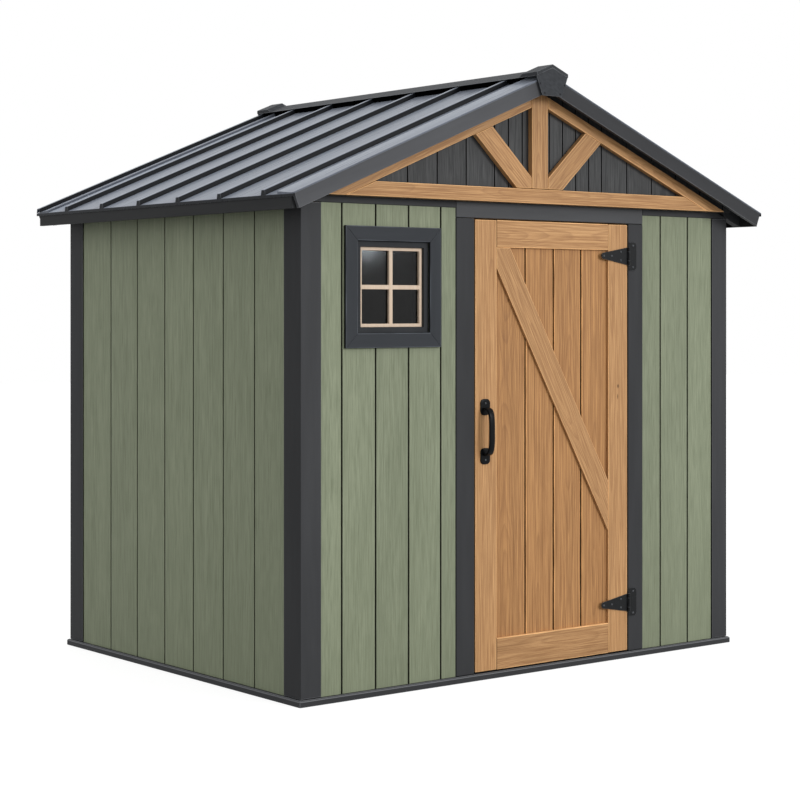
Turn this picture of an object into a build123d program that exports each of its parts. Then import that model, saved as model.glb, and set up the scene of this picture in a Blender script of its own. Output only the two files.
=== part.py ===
# Wooden garden shed with a gable roof of ribbed metal sheets, a hinged
# plank door and one small window.
# Millimetres. X runs along the front wall, Y from front to back, Z up.
# The origin is on the ground at the middle of the shed.
from build123d import *
from math import atan2, cos, radians, sin, tan
import os

os.makedirs("parts", exist_ok=True)

# Overall size, over the faces of the corner posts
width = 2440.0
depth = 1840.0

# Base: a low sill all round, a deck on flat bearers inside it
base_height = 29.0
base_proud = 11.0
base_bevel = 5.0
bearer_height = 13.0
bearer_width = 90.0
bearer_count = 5

# Walls: boards set back from the posts, on a frame of studs and plates
board_setback = 6.0
board_thickness = 16.0
stud_width = 38.0
stud_depth = 63.0
wall_top = 2004.0
rafter_seat = 19.0
plate_height = 38.0
post_front_width = 102.0
post_side_width = 118.0
post_edge_radius = 3.0
groove_width = 5.0
groove_depth = 3.0
front_first_board = 103.0
front_board_pitch = 169.5
right_first_board = 118.0
right_board_pitch = 177.0
side_board_count = 7
side_groove_shift = 18.0
rear_board_count = 13
gable_board_pitch = 156.0
gable_narrow_left = -160.0
gable_narrow_right = 320.0
gable_packing = 3.0
side_stud_count = 3
rear_stud_count = 4

# Doorway
jamb_outer_left = 793.0
jamb_outer_right = 1886.0
jamb_left_width = 99.0
jamb_right_width = 92.0
header_bottom = 1936.0
door_gap = 5.0
door_bottom = 34.0
door_thickness = 40.0
stile_width = 118.0
top_rail_height = 115.0
bottom_rail_height = 132.0
panel_setback = 14.0
panel_thickness = 14.0
panel_groove_depth = 10.0
panel_board_count = 4
panel_groove_shift = 10.0
brace_width = 109.0
brace_head_run = 77.0
brace_foot_height = 763.0
stop_width = 14.0
stop_thickness = 18.0

# Hinges: a tapered strap on the door and a tall plate on the jamb
hinge_heights = (247.0, 1791.0)
hinge_plate_thickness = 3.0
hinge_plate_height = 126.0
hinge_plate_width = 45.0
hinge_plate_corner = 18.0
barrel_radius = 6.5
barrel_height = 80.0
knuckle_gap = 0.5
pin_radius = 3.2
pin_clearance = 0.06
strap_length = 165.0
strap_root_height = 78.0
strap_tip_height = 28.0

# Handle: a bow between two rounded plates
handle_centre_x = 949.0
handle_bottom = 904.0
handle_top = 1178.0
handle_plate_width = 52.0
handle_plate_height = 68.0
handle_plate_thickness = 4.0
handle_plate_corner = 18.0
handle_bar_width = 22.0
handle_bar_thickness = 12.0
handle_bar_edge = 4.0
handle_bow_foot = 42.0
handle_bow_rise = 10.0
handle_bow_bend = 18.0
handle_reach = 52.0

# Window
window_left = 216.0
window_right = 706.0
window_bottom = 1399.0
window_top = 1888.0
casing_width = 59.0
casing_proud = 8.0
casing_bevel = 3.0
frame_width = 24.0
frame_proud = -6.0
frame_depth = 80.0
sash_bar_width = 14.0
sash_thickness = 22.0
sash_proud = -17.0
muntin_width = 18.0
muntin_thickness = 12.0
glass_thickness = 4.0

# Roof
roof_slope = 22.42
eave_overhang = 108.0
gable_overhang = 112.0
roof_edge_depth = 67.0
flashing_thickness = 3.0
flashing_width = 110.0
flashing_lip = 24.0
flashing_rise = 7.0
sheet_thickness = 2.0
deck_thickness = 12.0
barge_thickness = 20.0
barge_joint = 1.0
fascia_thickness = 20.0
rib_height = 24.0
rib_base_width = 32.0
rib_top_width = 24.0
first_rib = 94.0
rib_pitch = 315.0
eave_drip = 4.0
drip_lip = 10.0
ridge_cap_half_width = 89.0
ridge_cap_thickness = 2.0
ridge_end_length = 118.0
ridge_end_bevel = 25.0
ridge_end_rise = 14.0
ridge_end_proud = 14.0
ridge_end_crease = 3.5
ridge_end_foot_width = 113.0
ridge_end_foot_below_apex = 95.0
ridge_end_plate_thickness = 6.0
ridge_board_thickness = 22.0
ridge_board_height = 90.0
rafter_pair_count = 5
sheet_ridge_gap = 8.0
deck_ridge_gap = 1.0

# Timber truss on the front gable
truss_thickness = 29.0
chord_height = 63.0
king_width = 94.0
strut_width = 92.0
strut_pitch = 43.0
strut_foot_x = 131.0
truss_rafter_drop = 65.0
truss_rafter_width = 46.0

# How far a cutting shape runs past the wood that it cuts
cut_margin = 1.0

# Derived planes
half_width = width / 2
half_depth = depth / 2
trim_thickness = board_setback + board_thickness
front = -half_depth
rear = half_depth
left = -half_width
right = half_width
frame_x = half_width - trim_thickness
frame_y = half_depth - trim_thickness
inner_x = frame_x - stud_depth
inner_y = frame_y - stud_depth
slope = radians(roof_slope)
eave_x = half_width + eave_overhang
apex_top = wall_top - rafter_seat + roof_edge_depth / cos(slope) + frame_x * tan(slope)
barge_front = half_depth + gable_overhang
opening_left = left + jamb_outer_left + jamb_left_width
opening_right = left + jamb_outer_right - jamb_right_width
door_left = opening_left + door_gap
door_right = opening_right - door_gap
door_top = header_bottom - door_gap
sheet_top_offset = -flashing_thickness
sheet_bottom_offset = sheet_top_offset - sheet_thickness
deck_bottom_offset = sheet_bottom_offset - deck_thickness
rib_top_offset = sheet_top_offset + rib_height
cap_top_offset = rib_top_offset + ridge_cap_thickness
gable_back = half_depth + gable_packing
gable_face = gable_back + board_thickness
truss_face = gable_face + truss_thickness
plate_bottom = wall_top - plate_height
stud_bottom = base_height + plate_height


def save(node, solids):
    """Write one sub-part, as a compound where it has several solids."""
    if isinstance(solids, (list, tuple)):
        pieces = [piece for item in solids for piece in item.solids()]
        shape = pieces[0] if len(pieces) == 1 else Compound(children=pieces)
    else:
        pieces = solids.solids()
        shape = pieces[0] if len(pieces) == 1 else Compound(children=list(pieces))
    export_step(shape, f"parts/{node}.step")


def block(x0, x1, y0, y1, z0, z1):
    """A box between two corners."""
    size = Box(abs(x1 - x0), abs(y1 - y0), abs(z1 - z0))
    return Pos((x0 + x1) / 2, (y0 + y1) / 2, (z0 + z1) / 2) * size


def plate_xz(points, y0, y1):
    """An outline of (x, z) points, solid from y0 to y1."""
    face = make_face(Polyline([(x, y0, z) for x, z in points], close=True))
    return extrude(face, amount=abs(y1 - y0), dir=(0, 1 if y1 > y0 else -1, 0))


def plate_xy(points, z0, z1):
    """An outline of (x, y) points, solid from z0 to z1."""
    face = make_face(Polyline([(x, y, z0) for x, y in points], close=True))
    return extrude(face, amount=z1 - z0, dir=(0, 0, 1))


def mirrored(shape, plane):
    """A copy of a shape on the other side of a plane."""
    return mirror(shape, about=plane)


def roof_z(x, offset=0.0):
    """Height of the roof plane at x, moved square to the slope by offset."""
    return apex_top - abs(x) * tan(slope) + offset / cos(slope)


def rows(count, low, high):
    """Places spread evenly between two ends, the ends among them."""
    step = (high - low) / (count - 1)
    return [low + step * index for index in range(count)]


def grooved_outline(start, end, face, back, grooves):
    """Plan outline of a board panel with V grooves at the given places."""
    side = 1 if back > face else -1
    points = [(start, face)]
    for place in grooves:
        points += [(place - groove_width / 2, face)]
        points += [(place, face + side * groove_depth)]
        points += [(place + groove_width / 2, face)]
    points += [(end, face), (end, back), (start, back)]
    return points


# Base
def base_piece(length, inward, outward):
    """A sill with its top outer edge bevelled, along X, mitred at its ends."""
    section = [
        (outward, 0),
        (inward, 0),
        (inward, base_height),
        (outward - base_bevel, base_height),
        (outward, base_height - base_bevel),
    ]
    face = make_face(Polyline([(-length, y, z) for y, z in section], close=True))
    sill = extrude(face, amount=2 * length, dir=(1, 0, 0))
    run = length - outward
    mitred = [
        (-length, outward),
        (length, outward),
        (inward + run, inward),
        (-inward - run, inward),
    ]
    return sill & plate_xy(mitred, -cut_margin, base_height + cut_margin)


rear_sill = base_piece(half_width + base_proud, inner_y, half_depth + base_proud)
save("base_sills_front_rear", [mirrored(rear_sill, Plane.XZ), rear_sill])
side_sill = base_piece(half_depth + base_proud, inner_x, half_width + base_proud)
save("base_sills_left_right", [Rot(0, 0, 90) * side_sill, Rot(0, 0, -90) * side_sill])


def bearer(x):
    """One flat bearer under the deck, from front to back."""
    return block(x - bearer_width / 2, x + bearer_width / 2, -inner_y, inner_y, 0, bearer_height)


bearer_places = rows(bearer_count, -inner_x + bearer_width / 2, inner_x - bearer_width / 2)
save("floor_bearers", [bearer(x) for x in bearer_places])
save("floor_deck", block(-inner_x, inner_x, -inner_y, inner_y, bearer_height, base_height))


# Corner posts: an angle that wraps the frame
boards_top = roof_z(half_width, -roof_edge_depth)


def corner_post():
    """The rear right post."""
    angle = [
        (right, rear),
        (right - post_front_width, rear),
        (right - post_front_width, frame_y),
        (frame_x, frame_y),
        (frame_x, rear - post_side_width),
        (right, rear - post_side_width),
    ]
    post = plate_xy(angle, base_height, boards_top)
    arris = post.edges().filter_by(Axis.Z).sort_by(lambda edge: edge.center().X + edge.center().Y)[-1]
    return fillet(arris, post_edge_radius)


rear_right_post = corner_post()
front_right_post = mirrored(rear_right_post, Plane.XZ)
save(
    "corner_posts",
    [
        rear_right_post,
        front_right_post,
        mirrored(rear_right_post, Plane.YZ),
        mirrored(front_right_post, Plane.YZ),
    ],
)

# Wall frame: plates, studs and short pieces between studs
side_plates = []
for z in (base_height, plate_bottom):
    side_plates.append(block(inner_x, frame_x, -frame_y, frame_y, z, z + plate_height))
    side_plates.append(block(-frame_x, -inner_x, -frame_y, frame_y, z, z + plate_height))
save("side_wall_plates", side_plates)

end_plates = [
    block(-inner_x, opening_left, -frame_y, -inner_y, base_height, stud_bottom),
    block(opening_right, inner_x, -frame_y, -inner_y, base_height, stud_bottom),
    block(-inner_x, inner_x, -frame_y, -inner_y, plate_bottom, wall_top),
    block(-inner_x, inner_x, inner_y, frame_y, base_height, stud_bottom),
    block(-inner_x, inner_x, inner_y, frame_y, plate_bottom, wall_top),
]
save("end_wall_plates", end_plates)

window_left_x = left + window_left + casing_width
window_right_x = left + window_right - casing_width
window_low = window_bottom + casing_width
window_high = window_top - casing_width


def end_stud(x0, y0):
    """A stud in the front or rear wall."""
    return block(x0, x0 + stud_width, y0, y0 + stud_depth, stud_bottom, plate_bottom)


def side_stud(x0, y0):
    """A stud in the left or right wall."""
    return block(x0, x0 + stud_depth, y0, y0 + stud_width, stud_bottom, plate_bottom)


studs = []
for x0 in (-frame_x, inner_x):
    for y in rows(side_stud_count + 2, -frame_y + stud_width / 2, frame_y - stud_width / 2):
        studs.append(side_stud(x0, y - stud_width / 2))
for x in rows(rear_stud_count, -inner_x + stud_width / 2, inner_x - stud_width / 2):
    studs.append(end_stud(x - stud_width / 2, inner_y))
for x0 in (
    window_left_x - stud_width,
    window_right_x,
    opening_left - stud_width,
    opening_right,
    inner_x - stud_width,
):
    studs.append(end_stud(x0, -frame_y))
save("wall_studs", studs)

save(
    "wall_noggings",
    [
        block(window_left_x, window_right_x, -frame_y, -inner_y, window_low - stud_width, window_low),
        block(window_left_x, window_right_x, -frame_y, -inner_y, window_high, window_high + stud_width),
        block(opening_left, opening_right, -frame_y, -inner_y, header_bottom, plate_bottom),
    ],
)

# Wall boards
board_face_x = half_width - board_setback
board_face_y = half_depth - board_setback


def side_boards():
    """The right wall's boards, in plan."""
    end = rear - post_side_width
    pitch = 2 * end / side_board_count
    first = -end - side_groove_shift
    grooves = [first + pitch * index for index in range(1, side_board_count)]
    outline = grooved_outline(-end, end, board_face_x, frame_x, grooves)
    return plate_xy([(x, y) for y, x in outline], base_height, boards_top)


right_boards = side_boards()
save("right_wall_boards", right_boards)
save("left_wall_boards", mirrored(right_boards, Plane.YZ))

rear_end = right - post_front_width
rear_pitch = 2 * rear_end / rear_board_count
rear_grooves = [-rear_end + rear_pitch * index for index in range(1, rear_board_count)]
rear_outline = grooved_outline(-rear_end, rear_end, board_face_y, frame_y, rear_grooves)
save("rear_wall_boards", plate_xy(rear_outline, base_height, boards_top))


def front_boards(start, end, first, pitch):
    """Front wall boards between two places along X."""
    grooves = []
    place = start + first
    while place < end - groove_width:
        grooves.append(place)
        place += pitch
    outline = grooved_outline(start, end, -board_face_y, -frame_y, grooves)
    return plate_xy(outline, base_height, boards_top)


wall_left_start = left + post_front_width
wall_left_end = left + jamb_outer_left
wall_right_start = left + jamb_outer_right
wall_right_end = right - post_front_width
window_hole = block(
    window_left_x, window_right_x, -half_depth, -frame_y + cut_margin, window_low, window_high
)
front_left = front_boards(wall_left_start, wall_left_end, front_first_board, front_board_pitch)
save("front_wall_left", front_left - window_hole)
save(
    "front_wall_right",
    front_boards(wall_right_start, wall_right_end, right_first_board, right_board_pitch),
)


# Friezes along the top of the front and rear walls
def under_roof(offset, z):
    """Distance from the ridge at which a line under the roof comes down to z."""
    return (apex_top + offset / cos(slope) - z) / tan(slope)


frieze_shoulder = under_roof(-roof_edge_depth, wall_top)
rear_frieze = plate_xz(
    [
        (left, boards_top),
        (right, boards_top),
        (frieze_shoulder, wall_top),
        (-frieze_shoulder, wall_top),
    ],
    frame_y,
    rear,
)
front_frieze = mirrored(rear_frieze, Plane.XZ)
header_cut = block(
    wall_left_end,
    wall_right_start,
    -half_depth - cut_margin,
    -frame_y + cut_margin,
    boards_top - cut_margin,
    wall_top + cut_margin,
)
save("friezes", [rear_frieze, front_frieze - header_cut])

# Door surround
save(
    "door_jambs",
    [
        block(wall_left_end, opening_left, front, -frame_y, base_height, header_bottom),
        block(opening_right, wall_right_start, front, -frame_y, base_height, header_bottom),
    ],
)
save("door_header", block(wall_left_end, wall_right_start, front, -frame_y, header_bottom, wall_top))
stop_front = front + door_thickness + door_gap
stop_back = stop_front + stop_thickness
stop_left = opening_left + stop_width
stop_right = opening_right - stop_width
save(
    "door_stops",
    [
        block(opening_left, stop_left, stop_front, stop_back, base_height, header_bottom),
        block(stop_right, opening_right, stop_front, stop_back, base_height, header_bottom),
    ],
)

# Window: casing on the boards, frame through the wall, barred sash and glass
casing_left = left + window_left
casing_right = left + window_right
casing_face = front - casing_proud


def casing_boards():
    """Four boards round the window, bevelled outside and mitred at the corners."""
    ring = block(casing_left, casing_right, casing_face, -board_face_y, window_bottom, window_top)
    ring_front = ring.faces().sort_by(Axis.Y)[0]
    ring = chamfer(ring_front.edges(), casing_bevel)
    low_left = [(casing_left, window_bottom), (window_left_x, window_low)]
    low_right = [(window_right_x, window_low), (casing_right, window_bottom)]
    high_right = [(casing_right, window_top), (window_right_x, window_high)]
    high_left = [(window_left_x, window_high), (casing_left, window_top)]
    bottom = low_left + low_right
    top = high_right + high_left
    left_side = [low_left[0], low_left[1], high_left[0], high_left[1]]
    right_side = [low_right[1], low_right[0], high_right[1], high_right[0]]
    outlines = (bottom, right_side, top, left_side)
    return [ring & plate_xz(outline, casing_face, -board_face_y) for outline in outlines]


save("window_casing", casing_boards())

frame_face = front - frame_proud
frame_back = frame_face + frame_depth
sash_left = window_left_x + frame_width
sash_right = window_right_x - frame_width
sash_low = window_low + frame_width
sash_high = window_high - frame_width
frame_outside = block(window_left_x, window_right_x, frame_face, frame_back, window_low, window_high)
frame_hole = block(
    sash_left, sash_right, frame_face - cut_margin, frame_back + cut_margin, sash_low, sash_high
)
save("window_frame", frame_outside - frame_hole)

sash_face = front - sash_proud
sash_back = sash_face + sash_thickness
muntin_back = sash_face + muntin_thickness
pane_left = sash_left + sash_bar_width
pane_right = sash_right - sash_bar_width
pane_low = sash_low + sash_bar_width
pane_high = sash_high - sash_bar_width
muntin_x = (pane_left + pane_right) / 2
muntin_z = (pane_low + pane_high) / 2
half_muntin = muntin_width / 2


def barred_sash():
    """The sash, with one upright and one level bar that cross at its middle."""
    sash = block(sash_left, sash_right, sash_face, sash_back, sash_low, sash_high)
    sash -= block(
        pane_left, pane_right, sash_face - cut_margin, sash_back + cut_margin, pane_low, pane_high
    )
    sash += block(
        muntin_x - half_muntin, muntin_x + half_muntin, sash_face, muntin_back, pane_low, pane_high
    )
    sash += block(
        pane_left, pane_right, sash_face, muntin_back, muntin_z - half_muntin, muntin_z + half_muntin
    )
    return sash


save("window_sash", barred_sash())
glass_back = muntin_back + glass_thickness
save("window_glass", block(pane_left, pane_right, muntin_back, glass_back, pane_low, pane_high))

# Door leaf
door_back = front + door_thickness
panel_front = front + panel_setback
panel_back = panel_front + panel_thickness
stile_inner_left = door_left + stile_width
stile_inner_right = door_right - stile_width
top_rail_low = door_top - top_rail_height
bottom_rail_high = door_bottom + bottom_rail_height
panel_left = stile_inner_left - panel_groove_depth
panel_right = stile_inner_right + panel_groove_depth
panel_low = bottom_rail_high - panel_groove_depth
panel_high = top_rail_low + panel_groove_depth
panel_space = block(panel_left, panel_right, panel_front, panel_back, panel_low, panel_high)


def leaf_piece(x0, x1, z0, z1):
    """A stile or rail, grooved on its inner edge for the panel."""
    return block(x0, x1, front, door_back, z0, z1) - panel_space


save(
    "door_stiles",
    [
        leaf_piece(door_left, stile_inner_left, door_bottom, door_top),
        leaf_piece(stile_inner_right, door_right, door_bottom, door_top),
    ],
)
save(
    "door_rails",
    [
        leaf_piece(stile_inner_left, stile_inner_right, top_rail_low, door_top),
        leaf_piece(stile_inner_left, stile_inner_right, door_bottom, bottom_rail_high),
    ],
)
panel_step = (stile_inner_right - stile_inner_left) / panel_board_count
first_panel_line = stile_inner_left + panel_groove_shift
panel_grooves = [first_panel_line + panel_step * index for index in range(1, panel_board_count)]
panel_outline = grooved_outline(panel_left, panel_right, panel_front, panel_back, panel_grooves)
save("door_panel", plate_xy(panel_outline, panel_low, panel_high))


def door_brace():
    """A diagonal board from the top left corner down to the right stile."""
    head_x = stile_inner_left + brace_head_run
    foot_z = door_bottom + brace_foot_height
    angle = atan2(top_rail_low - foot_z, stile_inner_right - head_x)
    drop = brace_width / cos(angle)
    return plate_xz(
        [
            (stile_inner_left, top_rail_low),
            (head_x, top_rail_low),
            (stile_inner_right, foot_z),
            (stile_inner_right, foot_z - drop),
            (stile_inner_left, top_rail_low + brace_head_run * tan(angle) - drop),
        ],
        front,
        panel_front,
    )


save("door_brace", door_brace())

# Hinges
barrel_x = door_right + door_gap / 2
barrel_y = front - barrel_radius
plate_front = front - hinge_plate_thickness
bore_radius = pin_radius + pin_clearance
half_barrel = barrel_height / 2
half_middle = barrel_height / 4


def rod(x, y, z0, z1, radius):
    """An upright round bar."""
    return Pos(x, y, (z0 + z1) / 2) * Cylinder(radius, z1 - z0)


def bored(shape, z0, z1):
    """A shape with the pin's bore cut through it."""
    return shape - rod(barrel_x, barrel_y, z0 - cut_margin, z1 + cut_margin, bore_radius)


def knuckle(z0, z1):
    """One rolled knuckle of a hinge, bored for the pin."""
    return bored(rod(barrel_x, barrel_y, z0, z1, barrel_radius), z0, z1)


def jamb_plate(z):
    """The tall plate on the jamb, with the upper and lower knuckles."""
    low = z - hinge_plate_height / 2
    high = z + hinge_plate_height / 2
    clear_x = barrel_x + barrel_radius + knuckle_gap
    outer_x = barrel_x + barrel_radius + hinge_plate_width
    plate = block(barrel_x, outer_x, plate_front, front, low, high)
    outer = plate.edges().filter_by(Axis.Y).sort_by(Axis.X)[-2:]
    plate = bored(fillet(outer, hinge_plate_corner), low, high)
    for z0, z1 in (
        (low - cut_margin, z - half_barrel),
        (z - half_middle - knuckle_gap, z + half_middle + knuckle_gap),
        (z + half_barrel, high + cut_margin),
    ):
        plate -= block(
            barrel_x - cut_margin, clear_x, plate_front - cut_margin, front + cut_margin, z0, z1
        )
    plate += knuckle(z + half_middle + knuckle_gap, z + half_barrel)
    plate += knuckle(z - half_barrel, z - half_middle - knuckle_gap)
    return plate


def strap(z):
    """The tapered strap on the door, with the middle knuckle."""
    tip = strap_tip_height / 2
    root = strap_root_height / 2
    root_x = barrel_x - barrel_radius - knuckle_gap
    tip_x = barrel_x - strap_length + tip
    corners = [(tip_x, z + tip), (root_x, z + root), (root_x, z - root), (tip_x, z - tip)]
    sides = Polyline([(x, plate_front, height) for x, height in corners])
    end = ThreePointArc(
        (tip_x, plate_front, z - tip), (tip_x - tip, plate_front, z), (tip_x, plate_front, z + tip)
    )
    plate = extrude(make_face(sides + end), amount=hinge_plate_thickness, dir=(0, 1, 0))
    neck = block(root_x - cut_margin, barrel_x, plate_front, front, z - half_middle, z + half_middle)
    return plate + bored(neck, z - root, z + root) + knuckle(z - half_middle, z + half_middle)


def pin(z):
    """The pin through the knuckles."""
    return rod(barrel_x, barrel_y, z - half_barrel, z + half_barrel, pin_radius)


save("hinge_jamb_plates", [jamb_plate(z) for z in hinge_heights])
save("hinge_straps", [strap(z) for z in hinge_heights])
save("hinge_pins", [pin(z) for z in hinge_heights])


# Handle
def handle_plate(x, z):
    """A plate with rounded corners, flat on the stile."""
    outline = Plane((x, front, z), x_dir=(1, 0, 0), z_dir=(0, -1, 0)) * RectangleRounded(
        handle_plate_width, handle_plate_height, handle_plate_corner
    )
    return extrude(outline, amount=handle_plate_thickness, dir=(0, -1, 0))


def handle():
    """A bow swept between two rounded plates."""
    x = left + handle_centre_x
    half_plate = handle_plate_height / 2
    inside = front - handle_plate_thickness + cut_margin
    reach = front - handle_reach + handle_bar_thickness / 2
    low = handle_bottom + handle_bow_foot
    high = handle_top - handle_bow_foot
    path = FilletPolyline(
        (x, inside, low),
        (x, reach, low + handle_bow_rise),
        (x, reach, high - handle_bow_rise),
        (x, inside, high),
        radius=handle_bow_bend,
    )
    section = Plane(origin=path @ 0, z_dir=path % 0, x_dir=(1, 0, 0)) * RectangleRounded(
        handle_bar_width, handle_bar_thickness, handle_bar_edge
    )
    bow = sweep(section, path=path)
    return handle_plate(x, handle_top - half_plate) + handle_plate(x, handle_bottom + half_plate) + bow


save("door_handle", handle())


# Roof frame
def rafter(y):
    """One rafter on the right slope, cut to sit on the wall plate."""
    top = deck_bottom_offset
    low = -roof_edge_depth
    start = ridge_board_thickness / 2
    tail = eave_x - fascia_thickness
    seat = under_roof(low, wall_top)
    outline = [
        (start, roof_z(start, top)),
        (tail, roof_z(tail, top)),
        (tail, roof_z(tail, low)),
        (frame_x, roof_z(frame_x, low)),
        (frame_x, wall_top),
        (seat, wall_top),
        (start, roof_z(start, low)),
    ]
    return plate_xz(outline, y - stud_width / 2, y + stud_width / 2)


rafter_places = rows(rafter_pair_count, -gable_back + stud_width / 2, gable_back - stud_width / 2)
right_rafters = [rafter(y) for y in rafter_places]
save("rafters", right_rafters + [mirrored(item, Plane.YZ) for item in right_rafters])

ridge_top = roof_z(ridge_board_thickness / 2, deck_bottom_offset)
save(
    "ridge_board",
    block(-ridge_board_thickness / 2, ridge_board_thickness / 2, -gable_back, gable_back,
          ridge_top - ridge_board_height, ridge_top),
)


def gable_tie():
    """The level piece between the feet of the rear pair of rafters."""
    high = wall_top + plate_height
    bottom = under_roof(-roof_edge_depth, wall_top)
    top = under_roof(-roof_edge_depth, high)
    outline = [(-bottom, wall_top), (bottom, wall_top), (top, high), (-top, high)]
    return plate_xz(outline, gable_back - stud_width, gable_back)


rear_tie = gable_tie()
save("gable_ties", [rear_tie, mirrored(rear_tie, Plane.XZ)])


def eave_block(y0, y1):
    """A block on the right wall plate between two rafters."""
    inner = frame_x - stud_width
    outline = [
        (inner, wall_top),
        (frame_x, wall_top),
        (frame_x, roof_z(frame_x, deck_bottom_offset)),
        (inner, roof_z(inner, deck_bottom_offset)),
    ]
    return plate_xz(outline, y0, y1)


right_blocks = [
    eave_block(y0 + stud_width / 2, y1 - stud_width / 2)
    for y0, y1 in zip(rafter_places, rafter_places[1:])
]
save("eave_blocks", right_blocks + [mirrored(item, Plane.YZ) for item in right_blocks])

# Gable boards
gable_shoulder = roof_z(half_width, deck_bottom_offset)


def gable_grooves():
    """Grooves at odd half pitches, and at every half pitch where the boards are narrow."""
    half_pitch = gable_board_pitch / 2
    count = int(half_width / half_pitch)
    grooves = []
    for index in range(-count, count + 1):
        place = half_pitch * index
        if index % 2 or gable_narrow_left < place < gable_narrow_right:
            grooves.append(place)
    return grooves


def gable_boards():
    """The rear gable's boards, grooved on their outer face."""
    outline = [
        (left, wall_top),
        (right, wall_top),
        (right, gable_shoulder),
        (0, roof_z(0, deck_bottom_offset)),
        (left, gable_shoulder),
    ]
    panel = plate_xz(outline, gable_back, gable_face)
    plan = grooved_outline(
        left - cut_margin, right + cut_margin, gable_face, gable_back - cut_margin, gable_grooves()
    )
    return panel & plate_xy(plan, wall_top - cut_margin, apex_top)


rear_gable = gable_boards()
save("rear_gable_boards", rear_gable)
save("front_gable_boards", mirrored(rear_gable, Plane.XZ))

# Roof covering
barge_back = barge_front - barge_thickness


def along_slope(section, x0, x1):
    """A section of (y, offset) points carried down the right slope, with plumb ends."""
    start = Polyline([(x0, y, roof_z(x0, offset)) for y, offset in section], close=True)
    run = (x1 - x0) / cos(slope)
    return extrude(make_face(start), amount=run, dir=(cos(slope), 0, -sin(slope)))


def layer(y0, y1, low, top):
    """The section of a flat layer between two places and two offsets."""
    return [(y0, low), (y1, low), (y1, top), (y0, top)]


deck = along_slope(
    layer(-barge_back, barge_back, deck_bottom_offset, sheet_bottom_offset),
    deck_ridge_gap,
    eave_x - fascia_thickness,
)
save("roof_deck", [deck, mirrored(deck, Plane.YZ)])

fascia = block(eave_x - fascia_thickness, eave_x, -barge_back, barge_back,
               roof_z(eave_x - fascia_thickness, -roof_edge_depth), roof_z(eave_x, sheet_bottom_offset))
save("fascias", [fascia, mirrored(fascia, Plane.YZ)])


def barge():
    """The rear right barge board, its foot cut square to the slope."""
    top = sheet_bottom_offset
    low = -roof_edge_depth
    head = barge_joint / 2
    foot_x = eave_x
    foot_low_x = eave_x - (roof_edge_depth + top) * sin(slope)
    foot_low_z = roof_z(foot_x, top) - (roof_edge_depth + top) * cos(slope)
    outline = [
        (head, roof_z(head, top)),
        (foot_x, roof_z(foot_x, top)),
        (foot_low_x, foot_low_z),
        (head, roof_z(head, low)),
    ]
    return plate_xz(outline, barge_back, barge_front)


rear_right_barge = barge()
front_right_barge = mirrored(rear_right_barge, Plane.XZ)
save(
    "barge_boards",
    [
        rear_right_barge,
        front_right_barge,
        mirrored(rear_right_barge, Plane.YZ),
        mirrored(front_right_barge, Plane.YZ),
    ],
)


sheet_low_x = eave_x + eave_drip
first_rib_y = front + first_rib
last_rib_limit = barge_front - flashing_width - rib_base_width / 2
rib_count = int((last_rib_limit - first_rib_y) // rib_pitch) + 1
rib_places = [first_rib_y + rib_pitch * index for index in range(rib_count)]


def rib_section(y, inset, base, top):
    """Half the outline of a rib in front of its middle, and the other half behind it."""
    base_half = rib_base_width / 2 - inset
    top_half = rib_top_width / 2 - inset
    return [(y - base_half, base), (y - top_half, top), (y + top_half, top), (y + base_half, base)]


def roof_sheet():
    """The right slope's metal sheet, folded up into hollow ribs that are shut at the eave."""
    upper = [(-barge_front, sheet_top_offset)]
    lower = [(-barge_front, sheet_bottom_offset)]
    rib_inside = rib_top_offset - sheet_thickness
    for y in rib_places:
        upper += rib_section(y, 0, sheet_top_offset, rib_top_offset)
        lower += rib_section(y, sheet_thickness, sheet_bottom_offset, rib_inside)
    upper += [(barge_front, sheet_top_offset)]
    lower += [(barge_front, sheet_bottom_offset)]
    sheet = along_slope(upper + lower[::-1], sheet_ridge_gap, sheet_low_x)
    for y in rib_places:
        stop = rib_section(y, sheet_thickness / 2, sheet_bottom_offset, rib_inside)
        sheet += along_slope(stop, sheet_low_x - sheet_thickness, sheet_low_x)
    edge_z = roof_z(sheet_low_x, sheet_bottom_offset)
    lip_back = sheet_low_x - sheet_thickness
    return sheet + block(
        lip_back, sheet_low_x, -barge_front, barge_front, edge_z - drip_lip, edge_z + cut_margin
    )


right_sheet = roof_sheet()
save("roof_sheet_right", right_sheet)
save("roof_sheet_left", mirrored(right_sheet, Plane.YZ))


def over_ridge(section, half_span):
    """A section of (y, offset) points carried down both slopes from the ridge."""
    half = along_slope(section, 0, half_span)
    return half + mirrored(half, Plane.YZ)


def rake_flashing():
    """The front folded edge, drawn at the rear: highest inside, with a flat outer lip."""
    inside = barge_front - flashing_width
    section = [
        (inside, sheet_top_offset),
        (inside, flashing_rise),
        (barge_front - flashing_lip, 0),
        (barge_front, 0),
        (barge_front, sheet_top_offset),
    ]
    return over_ridge(section, eave_x)


def ribbed_flashing():
    """The rear folded edge, which ends in a hollow rib that is shut at the eaves."""
    inside = barge_front - flashing_width
    rib_y = barge_front - rib_base_width / 2
    rib_inside = rib_top_offset - sheet_thickness
    outer = rib_section(rib_y, 0, 0, rib_top_offset)
    inner = rib_section(rib_y, sheet_thickness, sheet_top_offset, rib_inside)
    section = [(inside, sheet_top_offset), (inside, flashing_rise)] + outer + inner[::-1]
    stop = rib_section(rib_y, sheet_thickness / 2, sheet_top_offset, rib_inside)
    right_stop = along_slope(stop, eave_x - sheet_thickness, eave_x)
    return over_ridge(section, eave_x) + right_stop + mirrored(right_stop, Plane.YZ)


save("rake_flashings", [ribbed_flashing(), mirrored(rake_flashing(), Plane.XZ)])

cap_section = layer(-barge_front, barge_front, rib_top_offset, cap_top_offset)
save("ridge_cap", over_ridge(cap_section, ridge_cap_half_width))


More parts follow.
